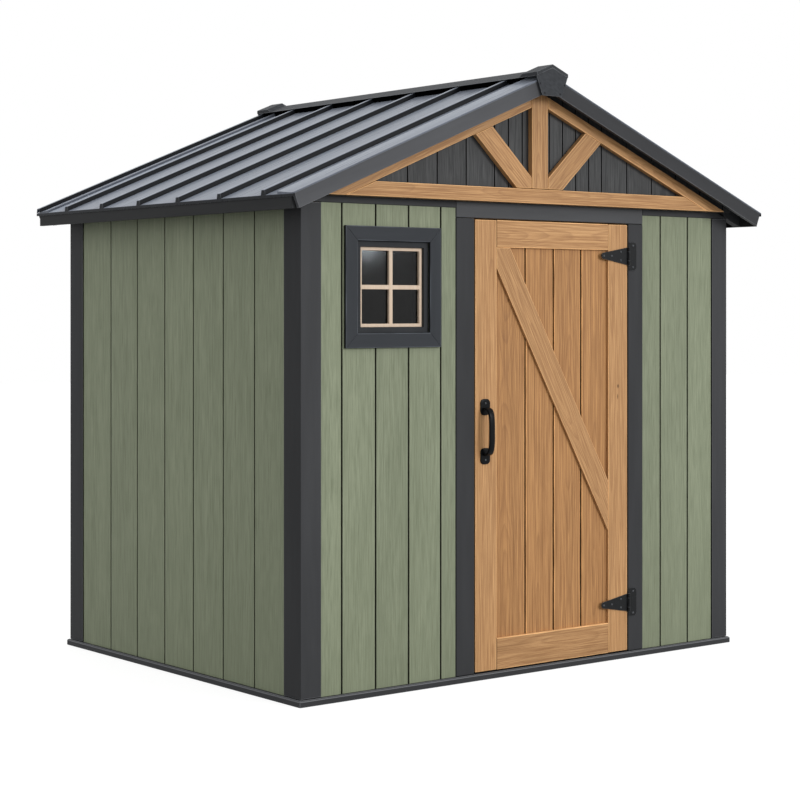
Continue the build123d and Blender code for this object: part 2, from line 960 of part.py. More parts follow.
def ridge_end():
    """The rear ridge end: a hood bevelled down to the cap, and a creased end plate."""
    outer = barge_front + ridge_end_proud
    inner = outer - ridge_end_length
    hood_top = cap_top_offset + ridge_end_rise
    hood_section = [
        (inner, cap_top_offset),
        (inner + ridge_end_bevel, hood_top),
        (outer, hood_top),
        (outer, cap_top_offset),
    ]
    foot = ridge_end_foot_width / 2
    foot_z = apex_top - ridge_end_foot_below_apex
    wing = ridge_cap_half_width
    wing_z = roof_z(wing, cap_top_offset)
    ridge_z = roof_z(0, cap_top_offset)
    wing_face = outer - ridge_end_crease
    plate_back = wing_face - ridge_end_plate_thickness
    outline = [(0, ridge_z), (wing, wing_z), (foot, foot_z), (-foot, foot_z), (-wing, wing_z)]
    creased = [(-wing, plate_back), (wing, plate_back), (wing, wing_face), (0, outer), (-wing, wing_face)]
    plate = plate_xz(outline, plate_back, outer) & plate_xy(creased, foot_z, ridge_z)
    return over_ridge(hood_section, wing) + plate


rear_ridge_end = ridge_end()
save("ridge_ends", [rear_ridge_end, mirrored(rear_ridge_end, Plane.XZ)])


# Timber truss on the front gable, drawn at the rear and mirrored
def truss_edge(x, below):
    """Height of a truss rafter's edge at x."""
    return roof_z(x, -truss_rafter_drop - below)


chord_top = wall_top + chord_height
tip = under_roof(-truss_rafter_drop, wall_top)
joint_foot = under_roof(-truss_rafter_drop - truss_rafter_width, wall_top)
joint_head = under_roof(-truss_rafter_drop - truss_rafter_width, chord_top)
king = king_width / 2


def truss_piece(outline):
    """One timber of the truss from its outline, on the front gable."""
    return plate_xz(outline, -truss_face, -gable_face)


chord = truss_piece(
    [
        (-joint_foot, wall_top),
        (joint_foot, wall_top),
        (joint_head, chord_top),
        (-joint_head, chord_top),
    ]
)
save("truss_chord", chord)
save(
    "truss_king_post",
    truss_piece(
        [
            (-king, chord_top),
            (king, chord_top),
            (king, truss_edge(king, 0)),
            (0, truss_edge(0, 0)),
            (-king, truss_edge(king, 0)),
        ]
    ),
)
truss_rafter = truss_piece(
    [
        (joint_foot, wall_top),
        (tip, wall_top),
        (king, truss_edge(king, 0)),
        (king, truss_edge(king, truss_rafter_width)),
    ]
)
save("truss_rafters", [truss_rafter, mirrored(truss_rafter, Plane.YZ)])


def truss_strut():
    """The right strut: a board that climbs from its outer foot on the chord to the rafter."""
    pitch = radians(strut_pitch)
    reach = joint_head
    run = reach * cos(pitch)
    rise = reach * sin(pitch)
    back_x = strut_width * sin(pitch)
    back_z = strut_width * cos(pitch)
    board = truss_piece(
        [
            (strut_foot_x - run, chord_top - rise),
            (strut_foot_x + run, chord_top + rise),
            (strut_foot_x + run - back_x, chord_top + rise + back_z),
            (strut_foot_x - run - back_x, chord_top - rise + back_z),
        ]
    )
    space = truss_piece(
        [
            (king, chord_top),
            (joint_head, chord_top),
            (king, truss_edge(king, truss_rafter_width)),
        ]
    )
    return board & space


strut = truss_strut()
save("truss_struts", [strut, mirrored(strut, Plane.YZ)])
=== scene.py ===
"""Finishes a packed garden shed: boards, joinery, metal roof, ironwork, materials and stage.

Metres. X runs along the front wall, Y from front to back, Z up from the ground.
"""

import math

import bmesh
import bpy
import numpy as np
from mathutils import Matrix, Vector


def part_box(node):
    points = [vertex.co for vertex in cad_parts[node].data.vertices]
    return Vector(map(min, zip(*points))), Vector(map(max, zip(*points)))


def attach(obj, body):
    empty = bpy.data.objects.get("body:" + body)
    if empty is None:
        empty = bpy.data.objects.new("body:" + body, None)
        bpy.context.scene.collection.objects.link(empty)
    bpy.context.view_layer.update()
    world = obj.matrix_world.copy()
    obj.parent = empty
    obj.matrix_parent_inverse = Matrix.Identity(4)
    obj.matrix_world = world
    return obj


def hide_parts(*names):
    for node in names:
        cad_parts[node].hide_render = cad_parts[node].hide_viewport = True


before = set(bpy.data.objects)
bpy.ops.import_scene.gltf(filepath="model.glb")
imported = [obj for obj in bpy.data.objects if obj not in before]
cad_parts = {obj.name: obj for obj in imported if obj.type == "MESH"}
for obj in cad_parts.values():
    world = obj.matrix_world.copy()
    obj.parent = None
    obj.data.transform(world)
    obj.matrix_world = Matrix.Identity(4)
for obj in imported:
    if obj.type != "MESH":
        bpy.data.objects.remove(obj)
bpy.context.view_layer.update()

bl_info = {
    "name": "Garden shed finisher",
    "version": (1, 0, 0),
    "blender": (4, 5, 0),
    "location": "View3D > Sidebar > Shed",
    "description": "Builds the visible boards, joinery, roof and ironwork of a garden shed",
    "category": "Object",
}

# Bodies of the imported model
SHED = "shed"
DOOR = "door"

# Roof, repeated from the solids: height of the ridge line, slope, the sheets' drip edge,
# the faces of the barge boards, and how far the sheets' flat pans lie below the roof plane
RIDGE_HEIGHT = 2.5517463
ROOF_SLOPE = math.radians(22.42)
DRIP_X = 1.332
BARGE_FACE_Y = 1.032
PAN = -0.003

# Wall heights
SILL_TOP = 0.029
BOARDS_TOP = 1.97592
WALL_TOP = 2.004

# Boards: their thickness, and how far out their faces lie on each side
BOARD_THICKNESS = 0.016
SIDE_FACE_X = 1.214
END_FACE_Y = 0.914
GABLE_FACE_Y = 0.939
PANEL_FACE_Y = 0.906

# Materials of the oiled timbers' faces and of their edges, the edges lighter as wear and painted highlight
OILED = ("Oiled timber", "Oiled timber on edges")

# The right stile's small knots: across, height, half their width and half their height
STILE_KNOTS = ((0.511, 1.213, 0.006, 0.009), (0.509, 1.167, 0.003, 0.012))


# Shapes


def eased(corners, radii, steps=3):
    """Closed outline with rounded corners.

    Each corner becomes an arc that touches both of its sides: its centre lies on the
    corner's bisector at radius / sin(half the angle), and its points turn evenly
    from one touching point to the other.
    """
    corners = np.asarray(corners, float)
    radii = np.broadcast_to(np.asarray(radii, float), len(corners))[:, None]
    before = np.roll(corners, 1, axis=0) - corners
    after = np.roll(corners, -1, axis=0) - corners
    before /= np.linalg.norm(before, axis=1, keepdims=True)
    after /= np.linalg.norm(after, axis=1, keepdims=True)
    half_angle = np.arccos(np.clip((before * after).sum(1, keepdims=True), -1, 1)) / 2
    middle = before + after
    middle /= np.maximum(np.linalg.norm(middle, axis=1, keepdims=True), 1e-9)
    centre = corners + middle * radii / np.sin(half_angle)
    start = corners + before * radii / np.tan(half_angle) - centre
    end = corners + after * radii / np.tan(half_angle) - centre
    first = np.arctan2(start[:, 1], start[:, 0])
    turn = np.arctan2(end[:, 1], end[:, 0]) - first
    turn = (turn + np.pi) % (2 * np.pi) - np.pi
    angle = first[:, None] + turn[:, None] * np.linspace(0, 1, steps + 1)
    points = centre[:, None] + radii[:, None] * np.stack([np.cos(angle), np.sin(angle)], axis=-1)
    points = points.reshape(-1, 2)
    apart = np.linalg.norm(points - np.roll(points, 1, axis=0), axis=1) > 1e-6
    return points[apart]


def lofted(rings):
    """Points and faces of a closed solid through rings of points.

    rings[i, j] is point j of the outline at place i. Neighbours in i and j make one
    four-sided face, and the first and the last ring are closed by one face each.
    """
    places, around = rings.shape[:2]
    i, j = np.meshgrid(np.arange(places - 1), np.arange(around), indexing="ij")
    after = (j + 1) % around
    corners = [i * around + j, i * around + after, (i + 1) * around + after, (i + 1) * around + j]
    faces = np.stack(corners, axis=-1).reshape(-1, 4).tolist()
    faces.append(list(range(around))[::-1])
    faces.append(list(range((places - 1) * around, places * around)))
    return rings.reshape(-1, 3), faces


def solid(rings, grain=None, tone=0.5, edge=None, groove=None):
    """A lofted solid with its grain coordinates, tone, edge mask (wear and painted highlight) and groove
    mask (painted shade in grooves and on shaded faces, dark lines at joints).
    """
    points, faces = lofted(np.asarray(rings, float))
    nothing = np.zeros(len(points))
    return {
        "points": points,
        "faces": faces,
        "grain": points if grain is None else np.asarray(grain, float).reshape(-1, 3),
        "tone": np.full(len(points), tone),
        "edge": nothing if edge is None else np.asarray(edge, float).ravel(),
        "groove": nothing if groove is None else np.asarray(groove, float).ravel(),
    }


def mirrored(shell):
    """The same solid on the other side of the plane x = 0."""
    other = dict(shell)
    other["points"] = shell["points"] * np.array([-1, 1, 1])
    return other


def both_sides(shells):
    """The same solids on both slopes of the roof."""
    return shells + [mirrored(shell) for shell in shells]


def spanned(outline, start, end):
    """Two rings of an (x, z) outline, at two places along Y."""
    return [np.stack([outline[:, 0], np.full(len(outline), y), outline[:, 1]], axis=1)
            for y in (start, end)]


def write_values(mesh, name, values):
    """Stores values or vectors for each point of a mesh under a name that materials read."""
    kind, key = ("FLOAT", "value") if values.ndim == 1 else ("FLOAT_VECTOR", "vector")
    attribute = mesh.attributes.new(name, kind, "POINT")
    attribute.data.foreach_set(key, np.ascontiguousarray(values, np.float32).ravel())


def refinish(node, material):
    """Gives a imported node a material, with its mesh as it is."""
    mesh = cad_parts[node].data
    mesh.materials.clear()
    mesh.materials.append(finish(material))


def link_piece(name, mesh, body, materials, replaces=()):
    """Puts a mesh into the scene as a piece that rides on a body, with materials by name."""
    piece = bpy.data.objects.new(name, mesh)
    bpy.context.scene.collection.objects.link(piece)
    for material in materials:
        mesh.materials.append(finish(material))
    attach(piece, body)
    if replaces:
        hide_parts(*replaces)
    return piece


def piece_of_solids(name, solids, body, materials, replaces=(), smooth=30.0):
    """One piece from several closed solids, smooth across edges below an angle."""
    starts = np.cumsum([0] + [len(item["points"]) for item in solids])
    faces = [
        [corner + start for corner in face]
        for item, start in zip(solids, starts)
        for face in item["faces"]
    ]
    joined = {key: np.concatenate([item[key] for item in solids])
              for key in ("points", "grain", "tone", "edge", "groove")}
    mesh = bpy.data.meshes.new(name)
    mesh.from_pydata(joined.pop("points"), [], faces)
    for key, values in joined.items():
        write_values(mesh, key, values)
    work = bmesh.new()
    work.from_mesh(mesh)
    bmesh.ops.recalc_face_normals(work, faces=work.faces)
    work.to_mesh(mesh)
    work.free()
    mesh.shade_smooth()
    mesh.set_sharp_from_angle(angle=math.radians(smooth))
    return link_piece(name, mesh, body, materials, replaces)


def islands(work):
    """The number of the closed solid that each point of a bmesh belongs to.

    Each point takes the least number among its neighbours until none changes.
    """
    work.verts.index_update()
    ends = np.array([[point.index for point in edge.verts] for edge in work.edges])
    number = np.arange(len(work.verts))
    changed = True
    while changed:
        least = number.copy()
        np.minimum.at(least, ends[:, 0], number[ends[:, 1]])
        np.minimum.at(least, ends[:, 1], number[ends[:, 0]])
        changed = (least != number).any()
        number = least
    return np.unique(number, return_inverse=True)[1]


def along_x(points):
    """Grain that runs along X: across is Z, depth is Y."""
    return np.stack([points[:, 2], points[:, 1], points[:, 0]], axis=1)


def along_y(points):
    """Grain that runs along Y: across is X and Z together, depth is Z."""
    return np.stack([points[:, 0] + points[:, 2], points[:, 2], points[:, 1]], axis=1)


def along_z(points):
    """Grain that runs up: across is X, depth is Y."""
    return np.stack([points[:, 0], points[:, 1], points[:, 2]], axis=1)


def along_slant(angle, paired=True):
    """Grain along a line that falls at an angle along X or, where paired, out from x = 0."""

    def grain(points):
        out = np.abs(points[:, 0]) if paired else points[:, 0]
        along = out * math.cos(angle) - points[:, 2] * math.sin(angle)
        across = out * math.sin(angle) + points[:, 2] * math.cos(angle)
        return np.stack([across, points[:, 1], along], axis=1)

    return grain


def merged_copy(node):
    """A bmesh of a node's solids with whole faces, and the solid that each point is on."""
    work = bmesh.new()
    work.from_mesh(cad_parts[node].data)
    bmesh.ops.remove_doubles(work, verts=work.verts, dist=1e-6)
    bmesh.ops.dissolve_limit(
        work, angle_limit=math.radians(1), verts=work.verts, edges=work.edges
    )
    bmesh.ops.recalc_face_normals(work, faces=work.faces)
    return work, islands(work)


def solid_boxes(node):
    """The low and high corner of each of a node's separate solids."""
    work, number = merged_copy(node)
    points = np.array([point.co[:] for point in work.verts])
    work.free()
    return [
        (points[number == item].min(0), points[number == item].max(0))
        for item in range(number.max() + 1)
    ]


def eased_copy(node, name, body, materials, grain, radius, segments=2, seed=0, sharp=30.0,
               joint=0.0):
    """A copy of a node's solids with eased edges, which then stands for the node.

    The first material covers it. A second one, where there is one, is the edges' own, lighter as painted
    highlight and partly wear.
    Each solid is drawn in by half a joint on every side, so that its joints show.
    """
    work, number = merged_copy(node)
    mesh = bpy.data.meshes.new(name)
    work.to_mesh(mesh)
    work.free()
    points = np.zeros(len(mesh.vertices) * 3, np.float32)
    mesh.vertices.foreach_get("co", points)
    points = points.reshape(-1, 3).astype(float)
    draw = np.random.default_rng(seed)
    count = number.max() + 1
    shift = draw.uniform(-1, 1, (count, 3)) * np.array([0.02, 0.01, 8.0])
    low = np.stack([points[number == item].min(0) for item in range(count)])
    high = np.stack([points[number == item].max(0) for item in range(count)])
    middle = ((low + high) / 2)[number]
    points = middle + (points - middle) * (1 - joint / (high - low))[number]
    mesh.vertices.foreach_set("co", points.astype(np.float32).ravel())
    values = grain(points)
    centres = np.stack([values[number == item].mean(0) for item in range(count)])
    write_values(mesh, "grain", values - centres[number] + shift[number])
    write_values(mesh, "tone", draw.uniform(0, 1, count)[number])
    mesh.shade_smooth()
    mesh.set_sharp_from_angle(angle=math.radians(sharp))
    piece = link_piece(name, mesh, body, materials, [node])
    bevel = piece.modifiers.new("eased edges", "BEVEL")
    bevel.width = radius
    bevel.segments = segments
    bevel.limit_method = "ANGLE"
    bevel.angle_limit = math.radians(30)
    bevel.harden_normals = True
    bevel.material = len(materials) - 1
    return piece


# Boards


def board_outline(left, right, thickness, groove, eased_ends, tongued):
    """Section of one tongued board as (across, depth) points, with two masks.

    The groove is (width, depth, arris radius). The face runs between two arcs, and
    below the groove a tongue reaches the next board. The edge mask is 1 on the
    arcs and falls to 0 a few millimetres in; materials lighten it as wear and painted
    highlight. The groove mask is 1 below them, as far as the board's back; materials
    darken it as dirt and painted shade.
    """
    gap, depth, radius = groove
    tongue = 0.004
    arc = radius * 1.01
    inward = min(0.004, (right - left) / 4)
    left_radius = radius if eased_ends[0] else 0
    right_radius = radius if eased_ends[1] else 0
    low_side = thickness - 0.001
    corners = [(left, thickness), (left, low_side), (left, depth / 2), (left, 0), (left + inward, 0)]
    corners += [(right - inward, 0), (right, 0), (right, depth / 2)]
    radii = [0, 0, 0, left_radius, 0, 0, right_radius, 0]
    if tongued:
        corners += [(right, depth), (right + gap, depth)]
        corners += [(right + gap, depth + tongue), (right, depth + tongue)]
        radii += [0, 0, 0, 0]
    corners += [(right, low_side), (right, thickness)]
    radii += [0, 0]
    outline = eased(corners, radii)
    on_left = (outline[:, 0] < left + arc) & eased_ends[0]
    on_right = (outline[:, 0] > right - arc) & eased_ends[1]
    shallow = outline[:, 1] < arc
    worn = (on_left | on_right) & shallow
    grooved = (on_left | on_right) & ~shallow & (outline[:, 1] < thickness - 0.0005)
    return outline, worn.astype(float), grooved.astype(float)


def raised(section, axes, centre, low, high, shift, tone, arris=0.0, end_groove=False):
    """A board's section carried along the board, with its ends where low and high say.

    A point is origin + across * A + depth * D + along * L, where low and high are
    heights, or functions that give them from the place across. With an arris the
    face sinks to that depth over that length at both ends, pale there as wear and
    painted highlight or, at a groove, dark.
    """
    outline, worn, grooved = section
    origin, across, depth, along = (np.asarray(axis, float) for axis in axes)
    places = [(low, 0.0), (high, 0.0)]
    if arris:
        places = [(low, 0.0), (low, arris), (high, -arris), (high, 0.0)]
    rings = []
    grains = []
    edges = []
    grooves = []
    for end, inward in places:
        reach = end(outline[:, 0]) if callable(end) else np.full(len(outline), end)
        reach = reach + inward
        at_end = bool(arris) and not inward
        sunk = np.maximum(outline[:, 1:], arris if at_end else 0.0)
        rings.append(origin + outline[:, :1] * across + sunk * depth + reach[:, None] * along)
        grains.append(np.stack([outline[:, 0] - centre, outline[:, 1], reach], axis=1) + shift)
        edges.append(np.ones(len(worn)) if at_end and not end_groove else worn)
        grooves.append(np.ones(len(worn)) if at_end and end_groove else grooved)
    return solid(rings, grains, tone, edges, grooves)


def board_parts(left, right, low, high, hole):
    """The parts of a board round a hole: (left, right, low, high) of each.

    The hole is (from, to) across and (from, to) along. A part beside it has the
    board's whole length, and the parts below and above it fill the rest.
    """
    if hole is None or right <= hole[0] or left >= hole[1]:
        return [(left, right, low, high)]
    inner = max(left, hole[0])
    outer = min(right, hole[1])
    parts = [(inner, outer, low, hole[2]), (inner, outer, hole[3], high)]
    if left < hole[0]:
        parts.append((left, hole[0], low, high))
    if right > hole[1]:
        parts.append((hole[1], right, low, high))
    return parts


def boards(places, axes, low, high, thickness, groove, seed, hole=None):
    """Tongued boards between the places given, with the same grain all round a hole."""
    half_gap = groove[0] / 2
    draw = np.random.default_rng(seed)
    made = []
    last = len(places) - 2
    for index, (start, end) in enumerate(zip(places, places[1:])):
        left = start + (half_gap if index else 0)
        right = end - (half_gap if index < last else 0)
        shift = draw.uniform(-1, 1, 3) * np.array([0.015, 0.01, 9.0])
        tone = draw.uniform(0, 1)
        for part_left, part_right, part_low, part_high in board_parts(left, right, low, high, hole):
            eased_ends = (part_left == left, part_right == right)
            tongued = index < last and part_right == right
            section = board_outline(part_left, part_right, thickness, groove, eased_ends, tongued)
            centre = (left + right) / 2
            made.append(raised(section, axes, centre, part_low, part_high, shift, tone))
    return made


def standing(inward, face):
    """A wall's board axes: its face's origin, across, depth and up.

    Inward is the level (x, y) direction into the wall, and face how far out it lies.
    """
    inward = np.array([*inward, 0.0])
    return -inward * face, np.abs(inward[[1, 0, 2]]), inward, (0, 0, 1)


def evenly(start, end, count):
    """Places that part a run into equal boards."""
    return list(np.linspace(start, end, count + 1))


def roof_height(x, offset=0.0):
    """Height of the roof plane at x, moved square to the slope by offset."""
    return RIDGE_HEIGHT - np.abs(x) * math.tan(ROOF_SLOPE) + offset / math.cos(ROOF_SLOPE)


# Materials


def toned(colour, share):
    """The same colour, so many times lighter or darker."""
    return (*(min(1.0, channel * share) for channel in colour[:3]), 1)


class Nodes:
    """A shader node tree, with short ways to add nodes that give back their outputs."""

    def __init__(self, tree):
        self.tree = tree

    def plug(self, socket, value):
        """Links a socket to another one, or sets its value."""
        if isinstance(value, bpy.types.NodeSocket):
            self.tree.links.new(value, socket)
        else:
            socket.default_value = value

    def node(self, kind, sockets=None, **settings):
        """A node's outputs, with its settings made and its inputs linked or set."""
        made = self.tree.nodes.new("ShaderNode" + kind)
        for key, value in settings.items():
            setattr(made, key, value)
        for key, value in (sockets or {}).items():
            self.plug(made.inputs[key], value)
        return made.outputs

    def maths(self, operation, first, second=0.0, clamp=False):
        """The result of one operation on two values."""
        return self.node("Math", {0: first, 1: second}, operation=operation, use_clamp=clamp)[0]

    def plus(self, first, second):
        """Two values added."""
        return self.maths("ADD", first, second)

    def times(self, first, second, clamp=False):
        """Two values multiplied."""
        return self.maths("MULTIPLY", first, second, clamp)

    def squares(self, first, second):
        """The squares of two values added."""
        return self.plus(self.times(first, first), self.times(second, second))

    def axes(self, vector):
        """A vector's components."""
        return self.node("SeparateXYZ", {0: vector})

    def scaled(self, vector, share):
        """A vector or colour times a value."""
        return self.node("VectorMath", {0: vector, "Scale": share}, operation="SCALE")[0]

    def mix(self, share, first, second):
        """A share of the second colour over the first."""
        return self.node("Mix", {0: share, 6: first, 7: second}, data_type="RGBA")[2]

    def remap(self, value, low, high, to_low=0.0, to_high=1.0):
        """Maps a range of values to another, held at its ends."""
        return self.node("MapRange", {
            "Value": value, "From Min": low, "From Max": high, "To Min": to_low, "To Max": to_high,
        })["Result"]

    def noise(self, vector, scale, detail=2.0, roughness=0.5, output="Fac"):
        """Noise over a vector."""
        return self.node("TexNoise", {
            "Vector": vector, "Scale": scale, "Detail": detail, "Roughness": roughness,
        })[output]

    def drawn_out(self, vector, across, along, detail=2.0, roughness=0.5, output="Fac"):
        """Noise with one scale across a board and another along it."""
        scaled = self.node("Mapping", {"Vector": vector, "Scale": (across, across, along)})["Vector"]
        return self.noise(scaled, 1.0, detail, roughness, output)

    def seen(self):
        """1 on what the camera sees, straight, mirrored or through glass, and 0 for light."""
        path = self.node("LightPath")
        through = self.maths("MAXIMUM", path["Is Glossy Ray"], path["Is Transmission Ray"])
        return self.maths("MAXIMUM", path["Is Camera Ray"], through)


class Effect(Nodes):
    """A shader node group. An input without a value of its own is a vector."""

    def __init__(self, name, inputs, outputs):
        super().__init__(bpy.data.node_groups.new(name, "ShaderNodeTree"))
        for label, value in inputs.items():
            kind = "NodeSocketVector" if value is None else "NodeSocketFloat"
            socket = self.tree.interface.new_socket(label, in_out="INPUT", socket_type=kind)
            if value is not None:
                socket.default_value = value
        for label in outputs:
            self.tree.interface.new_socket(label, in_out="OUTPUT", socket_type="NodeSocketFloat")
        self.given = self.tree.nodes.new("NodeGroupInput").outputs
        self.result = self.tree.nodes.new("NodeGroupOutput").inputs

    def give(self, **values):
        """Leads values to the group's outputs."""
        for label, value in values.items():
            self.plug(self.result[label], value)


def make_timber_figure():
    """Growth rings and fibres of sawn softwood, over grain coordinates.

    The rings are cylinders round a pith line behind the face. Slow noise moves the
    line to and from the face along the board, which draws the arches on it.
    """
    made = Effect("Timber figure",
                  {"Grain": None, "Ring width": 0.006, "Pith depth": 0.06, "Wander": 0.16},
                  ("Rings", "Streaks", "Fibres", "Height"))
    grain = made.given["Grain"]
    drift = made.drawn_out(grain, 3.0, 1.1, 1.5, output="Color")
    centred = made.node("VectorMath", {0: drift, 1: (0.5, 0.5, 0.5)}, operation="SUBTRACT")[0]
    aside = made.axes(made.scaled(centred, made.given["Wander"]))
    place = made.axes(grain)
    across = made.plus(place["X"], made.times(aside["X"], 0.35))
    deep = made.plus(made.plus(place["Y"], made.given["Pith depth"]), aside["Y"])
    ripple = made.times(made.drawn_out(grain, 55.0, 7.0, 3.0), 0.0035)
    distance = made.plus(made.maths("SQRT", made.squares(across, deep)), ripple)
    turn = made.maths("FRACT", made.maths("DIVIDE", distance, made.given["Ring width"]))
    rings = made.times(made.maths("POWER", turn, 2.6), made.remap(turn, 0.88, 1.0, 1.0, 0.0))
    fibres = made.drawn_out(grain, 520.0, 5.0, 3.0, 0.65)
    made.give(Rings=rings, Streaks=made.drawn_out(grain, 290.0, 2.4, 5.0, 0.7), Fibres=fibres,
              Height=made.plus(made.times(rings, 0.6), made.times(fibres, 0.4)))


def make_brushed_streaks():
    """Fine streaks along a board, as an embossed and painted face shows them."""
    made = Effect("Brushed streaks", {"Grain": None}, ("Streaks", "Clouds"))
    grain = made.given["Grain"]
    fine = made.drawn_out(grain, 300.0, 9.0, 3.0, 0.65)
    broad = made.drawn_out(grain, 115.0, 4.5, 3.0, 0.65)
    made.give(Streaks=made.plus(made.times(broad, 0.4), made.times(fine, 0.6)),
              Clouds=made.drawn_out(grain, 14.0, 1.6, 4.0, 0.6))


def make_edge_wear_and_highlight():
    """Where a piece's edges show wear and painted highlight, broken up by noise."""
    made = Effect("Edge wear", {"Grain": None, "Edge": 0.0, "Amount": 0.5}, ("Mask",))
    patches = made.remap(made.drawn_out(made.given["Grain"], 40.0, 6.0, 3.0), 0.3, 0.6)
    made.give(Mask=made.times(made.times(made.given["Edge"], patches), made.given["Amount"], True))


def make_painted_foot_shade():
    """Painted shade that darkens the foot of the walls, strongest at the sill and gone at hip height."""
    made = Effect("Damp foot", {"Place": None, "Amount": 0.3}, ("Mask",))
    place = made.given["Place"]
    low = made.remap(made.axes(place)["Z"], 0.02, 0.8, 1.0, 0.0)
    patches = made.noise(place, 9.0, 4.0, 0.6)
    made.give(Mask=made.times(made.times(low, patches), made.given["Amount"], True))


class Finish(Nodes):
    """A new material for pieces whose points carry grain, tone, edge and groove values."""

    def __init__(self, name):
        self.made = bpy.data.materials.new(name)
        self.made.use_nodes = True
        super().__init__(self.made.node_tree)
        self.shader = self.tree.nodes["Principled BSDF"].inputs

    def carried(self, name, output="Fac"):
        """What a piece's points carry under a name."""
        return self.node("Attribute", attribute_name=name)[output]

    def grain(self):
        """The grain coordinates."""
        return self.carried("grain", "Vector")

    def place(self, kind="Object"):
        """The place on the piece, or another of its coordinates."""
        return self.node("TexCoord")[kind]

    def effect(self, name, **sockets):
        """The outputs of a shared effect, placed with its own values."""
        sockets = {key.replace("_", " "): value for key, value in sockets.items()}
        return self.node("Group", sockets, node_tree=bpy.data.node_groups[name])

    def worn(self, amount):
        """Where the edges show wear and painted highlight."""
        return self.effect("Edge wear", Edge=self.carried("edge"), Grain=self.grain(),
                           Amount=amount)["Mask"]

    def damp(self, amount):
        """Where the foot of the walls takes painted shade."""
        return self.effect("Damp foot", Place=self.place(), Amount=amount)["Mask"]

    def bump(self, height, strength, distance):
        """Leads a height into the shader's normal."""
        sockets = {"Strength": strength, "Distance": distance, "Height": height}
        self.plug(self.shader["Normal"], self.node("Bump", sockets)[0])

    def surface(self, colour, roughness, **values):
        """Leads colour and roughness into the shader, sets its other values, and ends there."""
        self.plug(self.shader["Base Color"], colour)
        self.plug(self.shader["Roughness"], roughness)
        for key, value in values.items():
            self.shader[key.replace("_", " ")].default_value = value
        return self.made


def painted_boards(name, colour, dark, worn, groove):
    """Satin paint over embossed boards: streaks, tone from board to board, painted shade at the foot, wear
    and painted highlight on the arrises, and grooves darkened as dirt and painted shade.
    """
    paint = Finish(name)
    streaks = paint.effect("Brushed streaks", Grain=paint.grain())
    tint = paint.mix(paint.remap(streaks["Streaks"], 0.36, 0.6), dark, colour)
    cloudy = paint.mix(paint.remap(streaks["Clouds"], 0.4, 0.62, 0.0, 0.3), tint, dark)
    board = paint.scaled(cloudy, paint.remap(paint.carried("tone"), 0.0, 1.0, 0.94, 1.06))
    # Painted highlight, partly wear: the arrises lighten towards the pale colour
    edged = paint.mix(paint.worn(0.45), board, worn)
    foot_shaded = paint.mix(paint.damp(0.6), edged, dark)
    paint.bump(streaks["Streaks"], 0.6, 0.0015)
    # Painted shade, partly dirt: the grooves take the dark groove colour
    return paint.surface(paint.mix(paint.carried("groove"), foot_shaded, groove),
                         paint.remap(streaks["Streaks"], 0.3, 0.7, 0.66, 0.52), Specular_IOR_Level=0.2)


def painted_trim(name, colour, roughness=0.48, faded=1.0, painted_front_light=1.0, painted_inner_shade=0.0):
    """Smooth satin paint on planed boards, with a faint grain.

    One factor makes the paint so many times lighter on the shed's left half, and another
    so many times lighter on faces that look to the front: both are painted light. Where a
    piece carries a groove mask, the paint is nearly black as painted shade, and so, by an
    inner-shade amount, are the sides and arrises that don't look away from the middle of
    the shed. Edges lighten as wear and painted highlight, and the foot darkens as painted shade.
    """
    paint = Finish(name)
    streaks = paint.effect("Brushed streaks", Grain=paint.grain())
    darker = toned(colour, 0.84)
    tint = paint.mix(paint.remap(streaks["Clouds"], 0.35, 0.65), darker, colour)
    place, normal = paint.place(), paint.place("Normal")
    # Painted light: lighter on the shed's left half and on faces that look to the front
    lift = paint.times(paint.remap(paint.axes(place)["X"], -0.15, 0.02, faded, 1.0),
                       paint.remap(paint.axes(normal)["Y"], -0.9, -0.4, painted_front_light, 1.0))
    # Painted highlight, partly wear: edges lighten to four times the paint
    edged = paint.mix(paint.worn(0.6), paint.scaled(tint, lift), toned(colour, 4))
    # Painted shade: the paint darkens towards the foot
    foot_shaded = paint.mix(paint.damp(0.5), edged, darker)
    # Painted shade: nearly black under a groove mask and on sides that face the middle of the shed
    level = paint.node("VectorMath", {0: place, 1: (1.0, 1.0, 0.0)}, operation="MULTIPLY")[0]
    outward = paint.node("VectorMath", {0: normal, 1: level}, operation="DOT_PRODUCT")["Value"]
    black = paint.maths("MAXIMUM", paint.carried("groove"), paint.remap(outward, 0.3, 0.6, painted_inner_shade, 0.0))
    paint.bump(streaks["Streaks"], 0.25, 0.0006)
    return paint.surface(paint.mix(black, foot_shaded, (0.003, 0.003, 0.0035, 1)),
                         paint.remap(streaks["Streaks"], 0.3, 0.7, roughness + 0.05, roughness - 0.05),
                         Specular_IOR_Level=0.07)


def knots(timber):
    """1 in the small knots that run through the door's right stile."""
    place = timber.place()
    axes = timber.axes(place)
    ragged = timber.remap(timber.noise(place, 260.0, 2.0), 0.3, 0.7, -0.5, 0.5)
    found = 0.0
    for across, height, half_width, half_height in STILE_KNOTS:
        aside = timber.maths("DIVIDE", timber.maths("SUBTRACT", axes["X"], across), half_width)
        along = timber.maths("DIVIDE", timber.maths("SUBTRACT", axes["Z"], height), half_height)
        distance = timber.plus(timber.squares(aside, along), ragged)
        found = timber.maths("MAXIMUM", found, timber.remap(distance, 0.3, 1.5, 1.0, 0.0))
    return found


